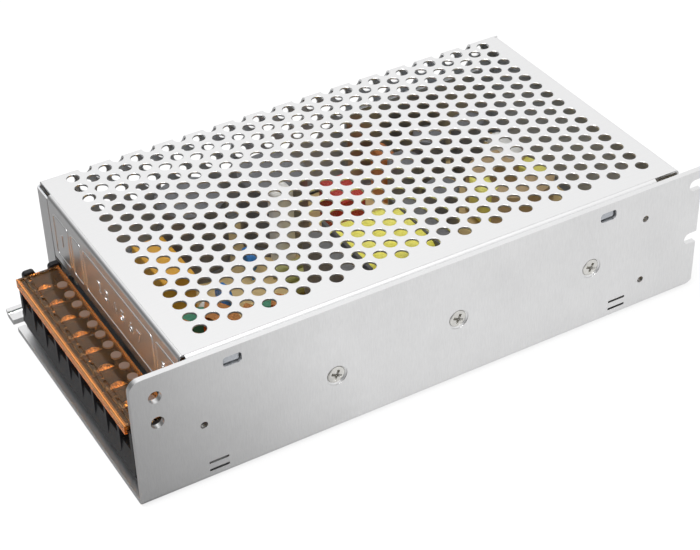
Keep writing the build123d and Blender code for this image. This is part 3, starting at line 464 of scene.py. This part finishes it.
def perforationTree():
    # a flat sheet with staggered round holes: outline and circles filled, rims set in, closed below
    inputs = [
        ("Length", "Float"), ("Width", "Float"), ("Columns", "Int"), ("Rows", "Int"),
        ("Column Step", "Float"), ("Pitch", "Float"), ("First Column", "Float"), ("First Row", "Float"),
        ("Last Row", "Float"), ("Hole Radius", "Float"), ("Hole Sides", "Int"), ("Sheet", "Float"),
        ("Merge Gap", "Float"), ("Rim", "Object"), ("Material", "Material"),
    ]
    tree, given = newTree("perforation", inputs)
    gridLength = maths(tree, maths(tree, given["Columns"], 1.0, "SUBTRACT"), given["Column Step"], "MULTIPLY")
    gridWidth = maths(tree, maths(tree, given["Rows"], 1.0, "SUBTRACT"), given["Pitch"], "MULTIPLY")
    grid = put(tree, "GeometryNodeMeshGrid", {
        "Size X": gridLength, "Size Y": gridWidth,
        "Vertices X": given["Columns"], "Vertices Y": given["Rows"],
    }).outputs["Mesh"]
    along = axes(tree, put(tree, "GeometryNodeInputPosition").outputs[0])[0]
    fromFirst = maths(tree, along, maths(tree, gridLength, 0.5, "MULTIPLY"))
    column = rounded(tree, maths(tree, fromFirst, given["Column Step"], "DIVIDE"))
    odd = maths(tree, column, 2.0, "FLOORED_MODULO")
    shift = maths(tree, maths(tree, odd, given["Pitch"], "MULTIPLY"), 0.5, "MULTIPLY")
    moveX = maths(tree, maths(tree, gridLength, 0.5, "MULTIPLY"), given["First Column"])
    moveY = maths(tree, maths(tree, gridWidth, 0.5, "MULTIPLY"), given["First Row"])
    offset = put(tree, "ShaderNodeCombineXYZ", {0: moveX, 1: maths(tree, moveY, shift)}).outputs[0]
    points = put(tree, "GeometryNodeSetPosition", {"Geometry": grid, "Offset": offset}).outputs[0]
    across = axes(tree, put(tree, "GeometryNodeInputPosition").outputs[0])[1]
    limits = {0: across, 1: given["Last Row"]}
    tooFar = put(tree, "FunctionNodeCompare", limits, operation="GREATER_THAN").outputs[0]
    points = put(tree, "GeometryNodeDeleteGeometry", {"Geometry": points, "Selection": tooFar}).outputs[0]

    circle = put(tree, "GeometryNodeCurvePrimitiveCircle", {
        "Resolution": given["Hole Sides"], "Radius": given["Hole Radius"],
    }).outputs[0]
    circles = put(tree, "GeometryNodeInstanceOnPoints", {"Points": points, "Instance": circle}).outputs[0]
    circles = put(tree, "GeometryNodeRealizeInstances", {"Geometry": circles}).outputs[0]
    outline = put(tree, "GeometryNodeCurvePrimitiveQuadrilateral", {
        "Width": given["Length"], "Height": given["Width"],
    }).outputs[0]
    middle = put(tree, "ShaderNodeCombineXYZ", {
        0: maths(tree, given["Length"], 0.5, "MULTIPLY"), 1: maths(tree, given["Width"], 0.5, "MULTIPLY"),
    }).outputs[0]
    outline = put(tree, "GeometryNodeTransform", {"Geometry": outline, "Translation": middle}).outputs[0]
    curves = put(tree, "GeometryNodeJoinGeometry")
    for part in (circles, outline):
        tree.links.new(part, curves.inputs[0])
    above = put(tree, "GeometryNodeFillCurve", {"Curve": curves.outputs[0]}).outputs[0]
    down = put(tree, "ShaderNodeCombineXYZ", {2: maths(tree, given["Sheet"], -1.0, "MULTIPLY")}).outputs[0]
    below = put(tree, "GeometryNodeTransform", {"Geometry": above, "Translation": down}).outputs[0]
    below = put(tree, "GeometryNodeFlipFaces", {"Mesh": below}).outputs[0]
    border = put(tree, "GeometryNodeCurveToMesh", {"Curve": outline}).outputs[0]
    border = put(tree, "GeometryNodeExtrudeMesh", {
        "Mesh": border, "Offset": down, "Offset Scale": 1.0,
    }, mode="EDGES")
    rim = put(tree, "GeometryNodeObjectInfo", {"Object": given["Rim"]}).outputs["Geometry"]
    rims = put(tree, "GeometryNodeInstanceOnPoints", {"Points": points, "Instance": rim}).outputs[0]
    rims = put(tree, "GeometryNodeRealizeInstances", {"Geometry": rims}).outputs[0]
    whole = put(tree, "GeometryNodeJoinGeometry")
    for part in (above, below, border.outputs[0], rims):
        tree.links.new(part, whole.inputs[0])
    joint = {"Geometry": whole.outputs[0], "Distance": given["Merge Gap"]}
    merged = put(tree, "GeometryNodeMergeByDistance", joint).outputs[0]
    endTree(tree, merged, given["Material"])
    return tree


def placingTree():
    # the same part, turned, on every point of the piece's own mesh
    tree, given = newTree("placing", [("Part", "Object"), ("Turn", "Vector"), ("Material", "Material")])
    turned = put(tree, "FunctionNodeEulerToRotation", {0: given["Turn"]}).outputs[0]
    part = put(tree, "GeometryNodeObjectInfo", {"Object": given["Part"]}).outputs["Geometry"]
    copies = put(tree, "GeometryNodeInstanceOnPoints", {
        "Points": given["Geometry"], "Instance": part, "Rotation": turned,
    }).outputs[0]
    endTree(tree, copies, given["Material"])
    return tree


perforation = perforationTree()
placing = placingTree()


def placeCopies(name, part, places, material, turn=(0, 0, 0)):
    # copies of a part on a list of places, as one plain mesh; the part itself is removed
    bm = bmesh.new()
    for place in places:
        bm.verts.new(place)
    piece = meshPiece(name, bm)
    runTree(piece, placing, {"Part": part, "Turn": turn, "Material": material})
    bpy.data.objects.remove(part)
    return smooth(piece)


def facesOut(piece):
    bm = bmesh.new()
    bm.from_mesh(piece.data)
    bmesh.ops.recalc_face_normals(bm, faces=bm.faces)
    bm.to_mesh(piece.data)
    bm.free()
    return piece


# The cover's sheet, its holes, its flanges and its snap bumps; margins run from the edges to the first hole
coverSize = {
    "sheet": 0.8 * mm, "turn": 1.6 * mm, "bendLength": 0.85 * mm, "bendSteps": 7, "edge": 0.12 * mm,
    "holeDiameter": 4.6 * mm, "holeRim": 0.12 * mm, "holeSides": 20, "pitch": 6.95 * mm, "rows": 18,
    "frontMargin": 11.8 * mm, "rearMargin": 7.0 * mm, "nearMargin": 10.4 * mm, "mergeGap": 0.004 * mm,
    "labelRise": 0.3 * mm, "plateBottom": 25.0 * mm, "cornerRelief": 0.4 * mm, "rearButt": 0.05 * mm,
    "flangeWidth": 9.6 * mm, "flangeGap": 0.6 * mm, "flangeFoot": 3.1 * mm,
    "nearDrop": 11.0 * mm, "nearFrontSetback": 2.2 * mm, "nearRearSetback": 10.5 * mm,
    "snapPlaces": (34.2 * mm, 175.4 * mm), "snapLength": 5.6 * mm, "snapHeight": 2.8 * mm,
    "snapLevel": 44.6 * mm, "snapRise": 1.2 * mm, "snapEdge": 0.5 * mm, "snapBury": 0.1 * mm,
}


def rimRing():
    # the punched edge of one hole: eased above and below
    size = coverSize
    inner, rim, sides = size["holeDiameter"] / 2, size["holeRim"], size["holeSides"]
    outline = [(inner + rim, 0), (inner, -rim), (inner, rim - size["sheet"]), (inner + rim, -size["sheet"])]
    bm = bmesh.new()
    rings = [addRing(bm, radius, height, sides) for radius, height in outline]
    for upper, lower in zip(rings, rings[1:]):
        for step in range(sides):
            following = (step + 1) % sides
            bm.faces.new((upper[step], lower[step], lower[following], upper[following]))
    return meshPiece("rimRing", bm)


def perforatedSheet(length, topWidth, sideDrop):
    # the top and the far wall as one flat sheet, from its near front corner
    size = coverSize
    columnStep = size["pitch"] * sin(radians(60))
    firstColumn, firstRow = size["frontMargin"] - size["turn"], size["nearMargin"] - size["turn"]
    room = length + 2 * size["turn"] - size["frontMargin"] - size["rearMargin"]
    piece = meshPiece("perforatedSheet", bmesh.new())
    rim = rimRing()
    runTree(piece, perforation, {
        "Length": length, "Width": topWidth + size["bendLength"] + sideDrop,
        "Columns": floor(room / columnStep) + 1, "Rows": size["rows"],
        "Column Step": columnStep, "Pitch": size["pitch"], "First Column": firstColumn, "First Row": firstRow,
        "Last Row": firstRow + (size["rows"] - 0.9) * size["pitch"],  # no holes half a step past it
        "Hole Radius": size["holeDiameter"] / 2 + size["holeRim"], "Hole Sides": size["holeSides"],
        "Sheet": size["sheet"], "Merge Gap": size["mergeGap"], "Rim": rim, "Material": finishes["coverMetal"],
    })
    bpy.data.objects.remove(rim)
    return piece


def foldSheet(piece, foldAt):
    # bends the flat sheet down past a line, holes and all
    size = coverSize
    turn, bendLength, steps = size["turn"], size["bendLength"], size["bendSteps"]
    bm = bmesh.new()
    bm.from_mesh(piece.data)
    for step in range(steps + 1):
        cut = (0, foldAt + bendLength * step / steps, 0)
        everything = bm.verts[:] + bm.edges[:] + bm.faces[:]
        bmesh.ops.bisect_plane(bm, geom=everything, plane_co=cut, plane_no=(0, 1, 0), dist=0.001 * mm)
    for vert in bm.verts:
        past, radius = vert.co.y - foldAt, turn + vert.co.z
        if past > bendLength:
            vert.co.y, vert.co.z = foldAt + radius, -turn - (past - bendLength)
        elif past > 0:
            a = pi / 2 * past / bendLength
            vert.co.y, vert.co.z = foldAt + radius * sin(a), -turn + radius * cos(a)
    bm.to_mesh(piece.data)
    bm.free()


def addFold(bm, start, outward, up, drop, length):
    # a bend and the wall below it: start is where the flat sheet ends, on its outer face
    size = coverSize
    turn, bend = size["turn"], size["turn"] - size["sheet"]
    outward, up = Vector(outward), Vector(up)
    alongFold = outward.cross(up)
    steps = size["bendSteps"]
    section = []
    for step in range(steps + 1):
        a = pi / 2 * (1 - step / steps)
        section.append((turn * cos(a), -turn + turn * sin(a)))
    section += [(turn, -drop), (bend, -drop)]
    for step in range(steps + 1):
        a = pi / 2 * step / steps
        section.append((bend * cos(a), -turn + bend * sin(a)))
    ends = []
    for distance in (0, length):
        origin = Vector(start) + alongFold * distance
        ends.append([bm.verts.new(origin + outward * u + up * v) for u, v in section])
    count = len(section)
    for step in range(count):
        following = (step + 1) % count
        bm.faces.new((ends[0][step], ends[0][following], ends[1][following], ends[1][step]))
    bm.faces.new(reversed(ends[0]))
    bm.faces.new(ends[1])


def makeCover():
    size = coverSize
    low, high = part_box("mesh_cover")
    turn = size["turn"]
    front, rear, top, far = low.x + size["labelRise"], high.x, high.z, high.y
    near = low.y + size["snapRise"]
    flatFront, flatRear, flatNear, flatFar = front + turn, rear - turn, near + turn, far - turn
    sheet = perforatedSheet(flatRear - flatFront, flatFar - flatNear, top - turn - low.z)
    foldSheet(sheet, flatFar - flatNear)
    sheet.data.transform(Matrix.Translation((flatFront, flatNear, top)))

    bm = bmesh.new()
    addFold(bm, (flatRear, flatFar, top), (0, 1, 0), (0, 0, 1), top - low.z, turn)
    flangeTop = top - turn
    flangeDrop = flangeTop - size["flangeFoot"]
    addFold(bm, (flatFront, far, flangeTop), (-1, 0, 0), (0, 1, 0), size["flangeWidth"], flangeDrop)
    rearFar = flatFar - size["cornerRelief"]
    addFold(bm, (flatRear, rearFar, top), (1, 0, 0), (0, 0, 1), top - low.z, rearFar - flatNear)
    # the rear wall's far edge, closed below the bends
    butt, wallInside = size["rearButt"], far - size["sheet"]
    addBox(bm, (rear - size["sheet"], rearFar - butt, low.z), (rear, wallInside - butt, flangeTop))
    plateFar = far - size["flangeWidth"] - size["flangeGap"]
    plateDrop = top - size["plateBottom"]
    addFold(bm, (flatFront, flatNear, top), (-1, 0, 0), (0, 0, 1), plateDrop, plateFar - flatNear)
    flangeRear = rear - size["nearRearSetback"]
    flangeLength = flangeRear - front - size["nearFrontSetback"]
    addFold(bm, (flangeRear, flatNear, top), (0, -1, 0), (0, 0, 1), size["nearDrop"], flangeLength)
    for place in size["snapPlaces"]:
        x, z = cadBox[0].x + place, size["snapLevel"]
        half, tall = size["snapLength"] / 2, size["snapHeight"] / 2
        inner = near + size["snapBury"]
        addBox(bm, (x - half, low.y, z - tall), (x + half, inner, z + tall), size["snapEdge"])
    folds = eased(meshPiece("folds", bm), size["edge"], 2, 50)

    joined = bmesh.new()
    for part in (sheet, folds):
        joined.from_mesh(part.data)
        bpy.data.objects.remove(part)
    cover = facesOut(meshPiece("perforatedCover", joined))
    finish(evenShading(smooth(cover, 30)), finishes["coverMetal"], "mesh_cover", "cover_metal")


# The frames pressed into the front plate, as places from its near end and lengths, with plain numbers
plateMarks = {
    "frames": (
        (1.6 * mm, 15.0 * mm, "8 9"), (18.4 * mm, 54.0 * mm, "2 3 4 5 6 7"),
        (74.0 * mm, 9.0 * mm, ""), (84.6 * mm, 13.0 * mm, "1"),
    ),
    "fromTop": 4.6 * mm, "height": 17.0 * mm, "corner": 1.5 * mm, "ridge": 0.34 * mm, "ridgeSink": 0.06 * mm,
    "figure": 6.5 * mm, "figureRise": 0.22 * mm, "figureSpace": 1.6,
}


def roundedLoop(width, height, corner, steps=6):
    # points round a rectangle with round corners, from its middle
    points = []
    for quarter in range(4):
        signX, signY = ((1, 1), (-1, 1), (-1, -1), (1, -1))[quarter]
        middle = (signX * (width / 2 - corner), signY * (height / 2 - corner))
        for step in range(steps + 1):
            a = pi / 2 * (quarter + step / steps)
            points.append((middle[0] + corner * cos(a), middle[1] + corner * sin(a)))
    return points


def plainMesh(curve, place):
    # a curve or text as a mesh standing on the front plate, read from the terminal end
    holder = bpy.data.objects.new("holder", curve)
    scene.collection.objects.link(holder)
    mesh = bpy.data.meshes.new_from_object(holder.evaluated_get(bpy.context.evaluated_depsgraph_get()))
    bpy.data.objects.remove(holder)
    facing = Matrix(((0, 0, -1, 0), (-1, 0, 0, 0), (0, 1, 0, 0), (0, 0, 0, 1)))
    mesh.transform(Matrix.Translation(place) @ facing)
    return mesh


def makePlateMarks():
    size = plateMarks
    low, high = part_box("mesh_cover")
    face, top = low.x + coverSize["labelRise"], high.z - size["fromTop"]
    plateNear = low.y + coverSize["snapRise"] + coverSize["turn"]
    joined = bmesh.new()
    for start, length, figures in size["frames"]:
        middle = (face + size["ridgeSink"], plateNear + start + length / 2, top - size["height"] / 2)
        ridge = bpy.data.curves.new("ridge", "CURVE")
        ridge.dimensions = "3D"
        ridge.bevel_depth, ridge.bevel_resolution = size["ridge"], 3
        points = roundedLoop(length - 2 * size["ridge"], size["height"] - 2 * size["ridge"], size["corner"])
        line = ridge.splines.new("POLY")
        line.points.add(len(points) - 1)
        for point, (x, y) in zip(line.points, points):
            point.co = (x, y, 0, 1)
        line.use_cyclic_u = True
        joined.from_mesh(plainMesh(ridge, middle))
        if figures:
            text = bpy.data.curves.new("figures", "FONT")
            text.body, text.size, text.space_word = figures, size["figure"], size["figureSpace"]
            text.align_x, text.align_y = "CENTER", "CENTER"
            text.extrude, text.bevel_depth = size["figureRise"] * 0.75, size["figureRise"] * 0.25
            joined.from_mesh(plainMesh(text, (face, middle[1], middle[2])))
    marks = facesOut(meshPiece("plateMarks", joined))
    finish(smooth(marks, 40), finishes["coverMetal"], "mesh_cover", "cover_metal")


makeCover()
makePlateMarks()
print("cover made")


chassis = dressedCopy("chassis", "foldedChassis", 0.15 * mm)
finish(chassis, finishes["wallMetal"], "chassis", "chassis_metal")
print("chassis made")


# A cross recess is cut from above the head, and is narrower and shorter at its bottom by these shares
recessShape = {"above": 0.3 * mm, "bottomWidth": 0.45, "bottomReach": 0.55, "edge": 0.06 * mm}


def crossCutter(width, reach, depth, top):
    # a cross-shaped punch with sloping sides
    shape = recessShape
    bm = bmesh.new()
    for arm in (0, 1):
        for vert in bmesh.ops.create_cube(bm, size=1)["verts"]:
            atBottom = vert.co.z < 0
            x = vert.co.x * 2 * reach * (shape["bottomReach"] if atBottom else 1.0)
            y = vert.co.y * width * (shape["bottomWidth"] if atBottom else 1.0)
            z = top + (-depth if atBottom else shape["above"])
            vert.co = Vector((x, y, z)) if arm == 0 else Vector((-y, x, z))
    return meshPiece("punch", bm)


def screwPart(profile, recess):
    # a turned head and shank with a cross recess
    bm = bmesh.new()
    addLathe(bm, profile)
    screw = meshPiece("screwPart", bm)
    punch = crossCutter(*recess)
    cut = screw.modifiers.new("recess", "BOOLEAN")
    cut.operation = "DIFFERENCE"
    cut.solver = "EXACT"
    cut.object = punch
    cut.use_self = True
    settle(screw)
    bpy.data.objects.remove(punch)
    return eased(screw, recessShape["edge"], 1, 45)


# In each screw's values the recess is its width, its reach from the axis and its depth
terminalScrew = {
    "radius": 3.1 * mm, "head": 2.4 * mm, "shank": 1.7 * mm, "count": 9,
    "recess": (1.0 * mm, 2.2 * mm, 1.3 * mm),
}


def makeTerminalScrews():
    # domed heads, in one row along the block
    size = terminalScrew
    low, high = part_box("terminal_screws")
    seat = high.z - size["head"]
    r, h, shank = size["radius"], size["head"], size["shank"]
    profile = [
        (0, low.z - seat), (shank, low.z - seat), (shank, 0), (r * 0.96, 0), (r, 0.1 * h), (r, 0.38 * h),
        (r * 0.95, 0.58 * h), (r * 0.82, 0.78 * h), (r * 0.62, 0.91 * h), (r * 0.34, 0.98 * h), (0, h),
    ]
    part = screwPart(profile, (*size["recess"], h))
    first, last = low.y + r, high.y - r
    places = [
        ((low.x + high.x) / 2, first + (last - first) * number / (size["count"] - 1), seat)
        for number in range(size["count"])
    ]
    screws = placeCopies("terminalScrews", part, places, finishes["terminalSteel"])
    finish(screws, None, "terminal_screws", "screw_steel")


clampScrew = {
    "radius": 3.4 * mm, "head": 1.5 * mm, "shank": 1.6 * mm, "length": 9.6 * mm,
    "recess": (1.05 * mm, 2.1 * mm, 1.3 * mm), "spin": radians(25),
    "fromFront": (70.0 * mm, 116.0 * mm, 169.5 * mm), "levels": (22.4 * mm, 25.8 * mm, 25.5 * mm),
}


def makeClampScrews():
    # countersunk heads in the near wall, with a low dome
    size = clampScrew
    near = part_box("clamp_screws")[0].y
    r, h, shank, length = size["radius"], size["head"], size["shank"], size["length"]
    profile = [
        (0, -length), (shank, -length), (shank, -h), (r - 0.35 * mm, -0.35 * mm), (r - 0.35 * mm, -0.1 * mm),
        (r - 0.55 * mm, 0.04 * mm), (r * 0.6, 0.14 * mm), (r * 0.3, 0.18 * mm), (0, 0.19 * mm),
    ]
    part = screwPart(profile, (*size["recess"], 0))
    places = [(cadBox[0].x + x, near, z) for x, z in zip(size["fromFront"], size["levels"])]
    turn = (radians(90), size["spin"], 0)
    screws = placeCopies("clampScrews", part, places, finishes["screwSteel"], turn)
    finish(screws, None, "clamp_screws", "screw_steel")


coverScrew = {
    "radius": 2.5 * mm, "head": 1.2 * mm, "shank": 1.3 * mm, "length": 4.4 * mm,
    "recess": (0.7 * mm, 1.5 * mm, 0.9 * mm), "spin": radians(15),
    "fromFront": (45.0 * mm, 185.0 * mm), "level": 5.6 * mm,
}


def makeCoverScrews():
    # flat heads in the far wall
    size = coverScrew
    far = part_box("cover_screws")[1].y
    r, h, shank, length = size["radius"], size["head"], size["shank"], size["length"]
    profile = [
        (0, -length), (shank, -length), (shank, -h), (r - 0.12 * mm, -0.1 * mm), (r - 0.2 * mm, 0), (0, 0),
    ]
    part = screwPart(profile, (*size["recess"], 0))
    places = [(cadBox[0].x + x, far, size["level"]) for x in size["fromFront"]]
    turn = (radians(-90), size["spin"], 0)
    screws = placeCopies("coverScrews", part, places, finishes["screwSteel"], turn)
    finish(screws, None, "cover_screws", "screw_steel")


makeTerminalScrews()
makeClampScrews()
makeCoverScrews()
print("screws made")


def dressPieces(pieces):
    # finished copies of CAD nodes: piece name, finish, slot, edge in mm, and body if it moves
    for node, (name, material, slot, edge, *body) in pieces.items():
        steps = 3 if node == "terminal_block" else 2  # it has the roundest edges outside the mesh
        piece = dressedCopy(node, name, edge * mm, steps)
        finish(piece, finishes[material], node, slot, *body)


terminalPieces = {
    "terminal_block": ("terminalBlock", "blackPlastic", "block_plastic", 0.35),
    "contact_plates": ("contactPlates", "contactMetal", "contact_metal", 0.1),
    "clamp_washers": ("clampWashers", "contactMetal", "contact_metal", 0.15),
    "terminal_flap": ("terminalFlap", "clearOrange", "flap_plastic", 0.18, "flap"),
    "trimmer_body": ("trimmerBody", "trimmerBlue", "trimmer_plastic", 0.2),
    "trimmer_rotor": ("trimmerRotor", "rotorBrass", "rotor_metal", 0.1, "rotor"),
    "indicator_led": ("indicatorLed", "ledGreen", "led_plastic", 0),
}
dressPieces(terminalPieces)
print("terminals made")


boardPieces = {
    "insulating_film": ("insulatingFilm", "darkSheet", "film_plastic", 0),
    "circuit_board": ("circuitBoard", "laminate", "board_laminate", 0.1),
    "board_spacers": ("boardSpacers", "spacerSteel", "spacer_steel", 0.15),
    "board_screws": ("boardScrews", "screwSteel", "screw_steel", 0.2),
    "fuse": ("fuse", "fuseTube", "fuse_ceramic", 0.2),
    "fuse_clips": ("fuseClips", "contactMetal", "contact_metal", 0.1),
    "thermistor": ("thermistor", "discGreen", "thermistor_coat", 0.3),
    "filter_capacitor": ("filterCapacitor", "blockYellow", "filter_capacitor_case", 0.3),
    "y_capacitors": ("yCapacitors", "discBlue", "blue_coat", 0.3),
    "line_choke_core": ("lineChokeCore", "ringGreen", "choke_core_green", 0.3),
    "small_choke_core": ("smallChokeCore", "ringGreen", "choke_core_green", 0.3),
    "output_choke_core": ("outputChokeCore", "ringYellow", "choke_core_yellow", 0.3),
    "line_choke_windings": ("lineChokeWindings", "copperWire", "copper_wire", 0.4),
    "small_choke_windings": ("smallChokeWindings", "copperWire", "copper_wire", 0.4),
    "output_choke_windings": ("outputChokeWindings", "enamelTan", "copper_wire", 0.4),
    "bulk_capacitors": ("bulkCapacitors", "darkSleeve", "dark_sleeve", 0.3),
    "output_capacitors": ("outputCapacitors", "darkSleeve", "dark_sleeve", 0.3),
    "transformer_core": ("transformerCore", "ferrite", "ferrite", 0.5),
    "transformer_bobbin": ("transformerBobbin", "bobbinBlack", "bobbin_plastic", 0.3),
    "transformer_winding": ("transformerWinding", "tapeYellow", "winding_tape", 0.2),
    "red_capacitor": ("redCapacitor", "dipRed", "red_coat", 0.5),
    "brown_capacitor": ("brownCapacitor", "dipBrown", "brown_coat", 0.5),
    "heatsink": ("heatsink", "sinkMetal", "sink_aluminium", 0.3),
    "bridge_rectifier": ("bridgeRectifier", "packageBlack", "package_plastic", 0.2),
    "switching_transistors": ("switchingTransistors", "packageBlack", "package_plastic", 0.2),
    "output_rectifiers": ("outputRectifiers", "packageBlack", "package_plastic", 0.2),
    "insulating_pads": ("insulatingPads", "padGrey", "pad_rubber", 0),
    "clamp_bars": ("clampBars", "spacerSteel", "bar_steel", 0.2),
    "control_chip": ("controlChip", "packageBlack", "package_plastic", 0.15),
    "resistors": ("resistors", "coatOlive", "resistor_coat", 0.3),
    "fixing_glue": ("fixingGlue", "glueWhite", "white_glue", 0),
}
dressPieces(boardPieces)
print("inner pieces made")


# The camera is fitted to the photograph. Metal sees the floor go from bright to dark along X, and the sky
# by its direction in X, so that the walls shade off towards the terminals
studio = {
    "cameraPlace": (-0.24468, -0.43610, 0.38515), "cameraTurn": (53.169, 1.334, -30.358), "lens": 91.17,
    "sensor": 36, "clip": (0.01, 30), "white": (1, 1, 1, 1), "worldLight": 0.75,
    "floorSize": 12.0, "floorGlow": 0.80, "floorTones": ((0.86, 0.86, 0.86), (0.88, 0.88, 0.88)),
    "darkAt": -104 * mm, "brightAt": -18 * mm, "skyDarkAt": -0.5, "skyBrightAt": 0.05,
    "dimmest": 0.11, "brightest": 0.78,
    "lampPlace": (-0.25, -0.1, 1.1), "lampSize": 0.7, "lampPower": 12,
}


def dimmedStrength(tree, position, darkAt, brightAt, brightest=1.0):
    # white to the camera and through clear plastic; metal sees it grow darker towards the terminals
    strength = remap(tree, position, studio["dimmest"], brightest, darkAt, brightAt)
    path = put(tree, "ShaderNodeLightPath").outputs
    seen = maths(tree, path["Is Camera Ray"], path["Is Transmission Ray"], "MAXIMUM")
    return maths(tree, seen, strength, "MAXIMUM")


def shownWhere(tree, plain, glow):
    # the glow where the camera, metal or clear plastic looks at it, and plain light on everything else
    path = put(tree, "ShaderNodeLightPath").outputs
    seen = maths(tree, path["Is Camera Ray"], path["Is Glossy Ray"], "MAXIMUM")
    seen = maths(tree, seen, path["Is Transmission Ray"], "MAXIMUM")
    return put(tree, "ShaderNodeMixShader", {0: seen, 1: plain, 2: glow}).outputs[0]


def background(tree, strength):
    values = {"Color": studio["white"], "Strength": strength}
    return put(tree, "ShaderNodeBackground", values).outputs[0]


def makeWorld():
    world = bpy.data.worlds.new("studio")
    scene.world = world
    world.use_nodes = True
    tree = world.node_tree
    tree.nodes.clear()
    direction = axes(tree, put(tree, "ShaderNodeTexCoord").outputs["Generated"])[0]
    strength = dimmedStrength(tree, direction, studio["skyDarkAt"], studio["skyBrightAt"])
    light, sky = background(tree, studio["worldLight"]), background(tree, strength)
    put(tree, "ShaderNodeOutputWorld", {"Surface": shownWhere(tree, light, sky)})


def makeFloor():
    bm = bmesh.new()
    bmesh.ops.create_grid(bm, x_segments=1, y_segments=1, size=studio["floorSize"] / 2)
    floorPiece = meshPiece("floor", bm)
    floorPiece.location.z = cadBox[0].z
    material = bpy.data.materials.new("paleFloor")
    material.use_nodes = True
    tree = material.node_tree
    tree.nodes.clear()
    tone = blendColour(tree, noise(tree, coordinates(tree), 3, 2), *studio["floorTones"])
    plain = put(tree, "ShaderNodeBsdfDiffuse", {"Color": tone}).outputs[0]
    limits = studio["darkAt"], studio["brightAt"], studio["brightest"]
    strength = dimmedStrength(tree, axes(tree)[0], *limits)
    glow = put(tree, "ShaderNodeEmission", {"Color": studio["white"], "Strength": strength}).outputs[0]
    soft = put(tree, "ShaderNodeMixShader", {0: studio["floorGlow"], 1: plain, 2: glow}).outputs[0]
    put(tree, "ShaderNodeOutputMaterial", {"Surface": shownWhere(tree, plain, soft)})
    floorPiece.data.materials.append(material)


def makeLamp():
    # one large soft lamp overhead, aimed at the object
    data = bpy.data.lights.new("topLight", "AREA")
    data.shape = "RECTANGLE"
    data.size = data.size_y = studio["lampSize"]
    data.energy = studio["lampPower"]
    lamp = bpy.data.objects.new("topLight", data)
    lamp.location = studio["lampPlace"]
    lamp.rotation_euler = (-Vector(studio["lampPlace"])).to_track_quat("-Z", "Y").to_euler()
    scene.collection.objects.link(lamp)


def makeCamera():
    data = bpy.data.cameras.new("camera")
    data.lens = studio["lens"]
    data.sensor_width = studio["sensor"]
    data.clip_start, data.clip_end = studio["clip"]
    camera = bpy.data.objects.new("camera", data)
    camera.location = studio["cameraPlace"]
    camera.rotation_euler = Euler([radians(a) for a in studio["cameraTurn"]])
    scene.collection.objects.link(camera)
    scene.camera = camera


makeWorld()
makeFloor()
makeLamp()
makeCamera()
scene.view_settings.view_transform = "Standard"
print("studio made")
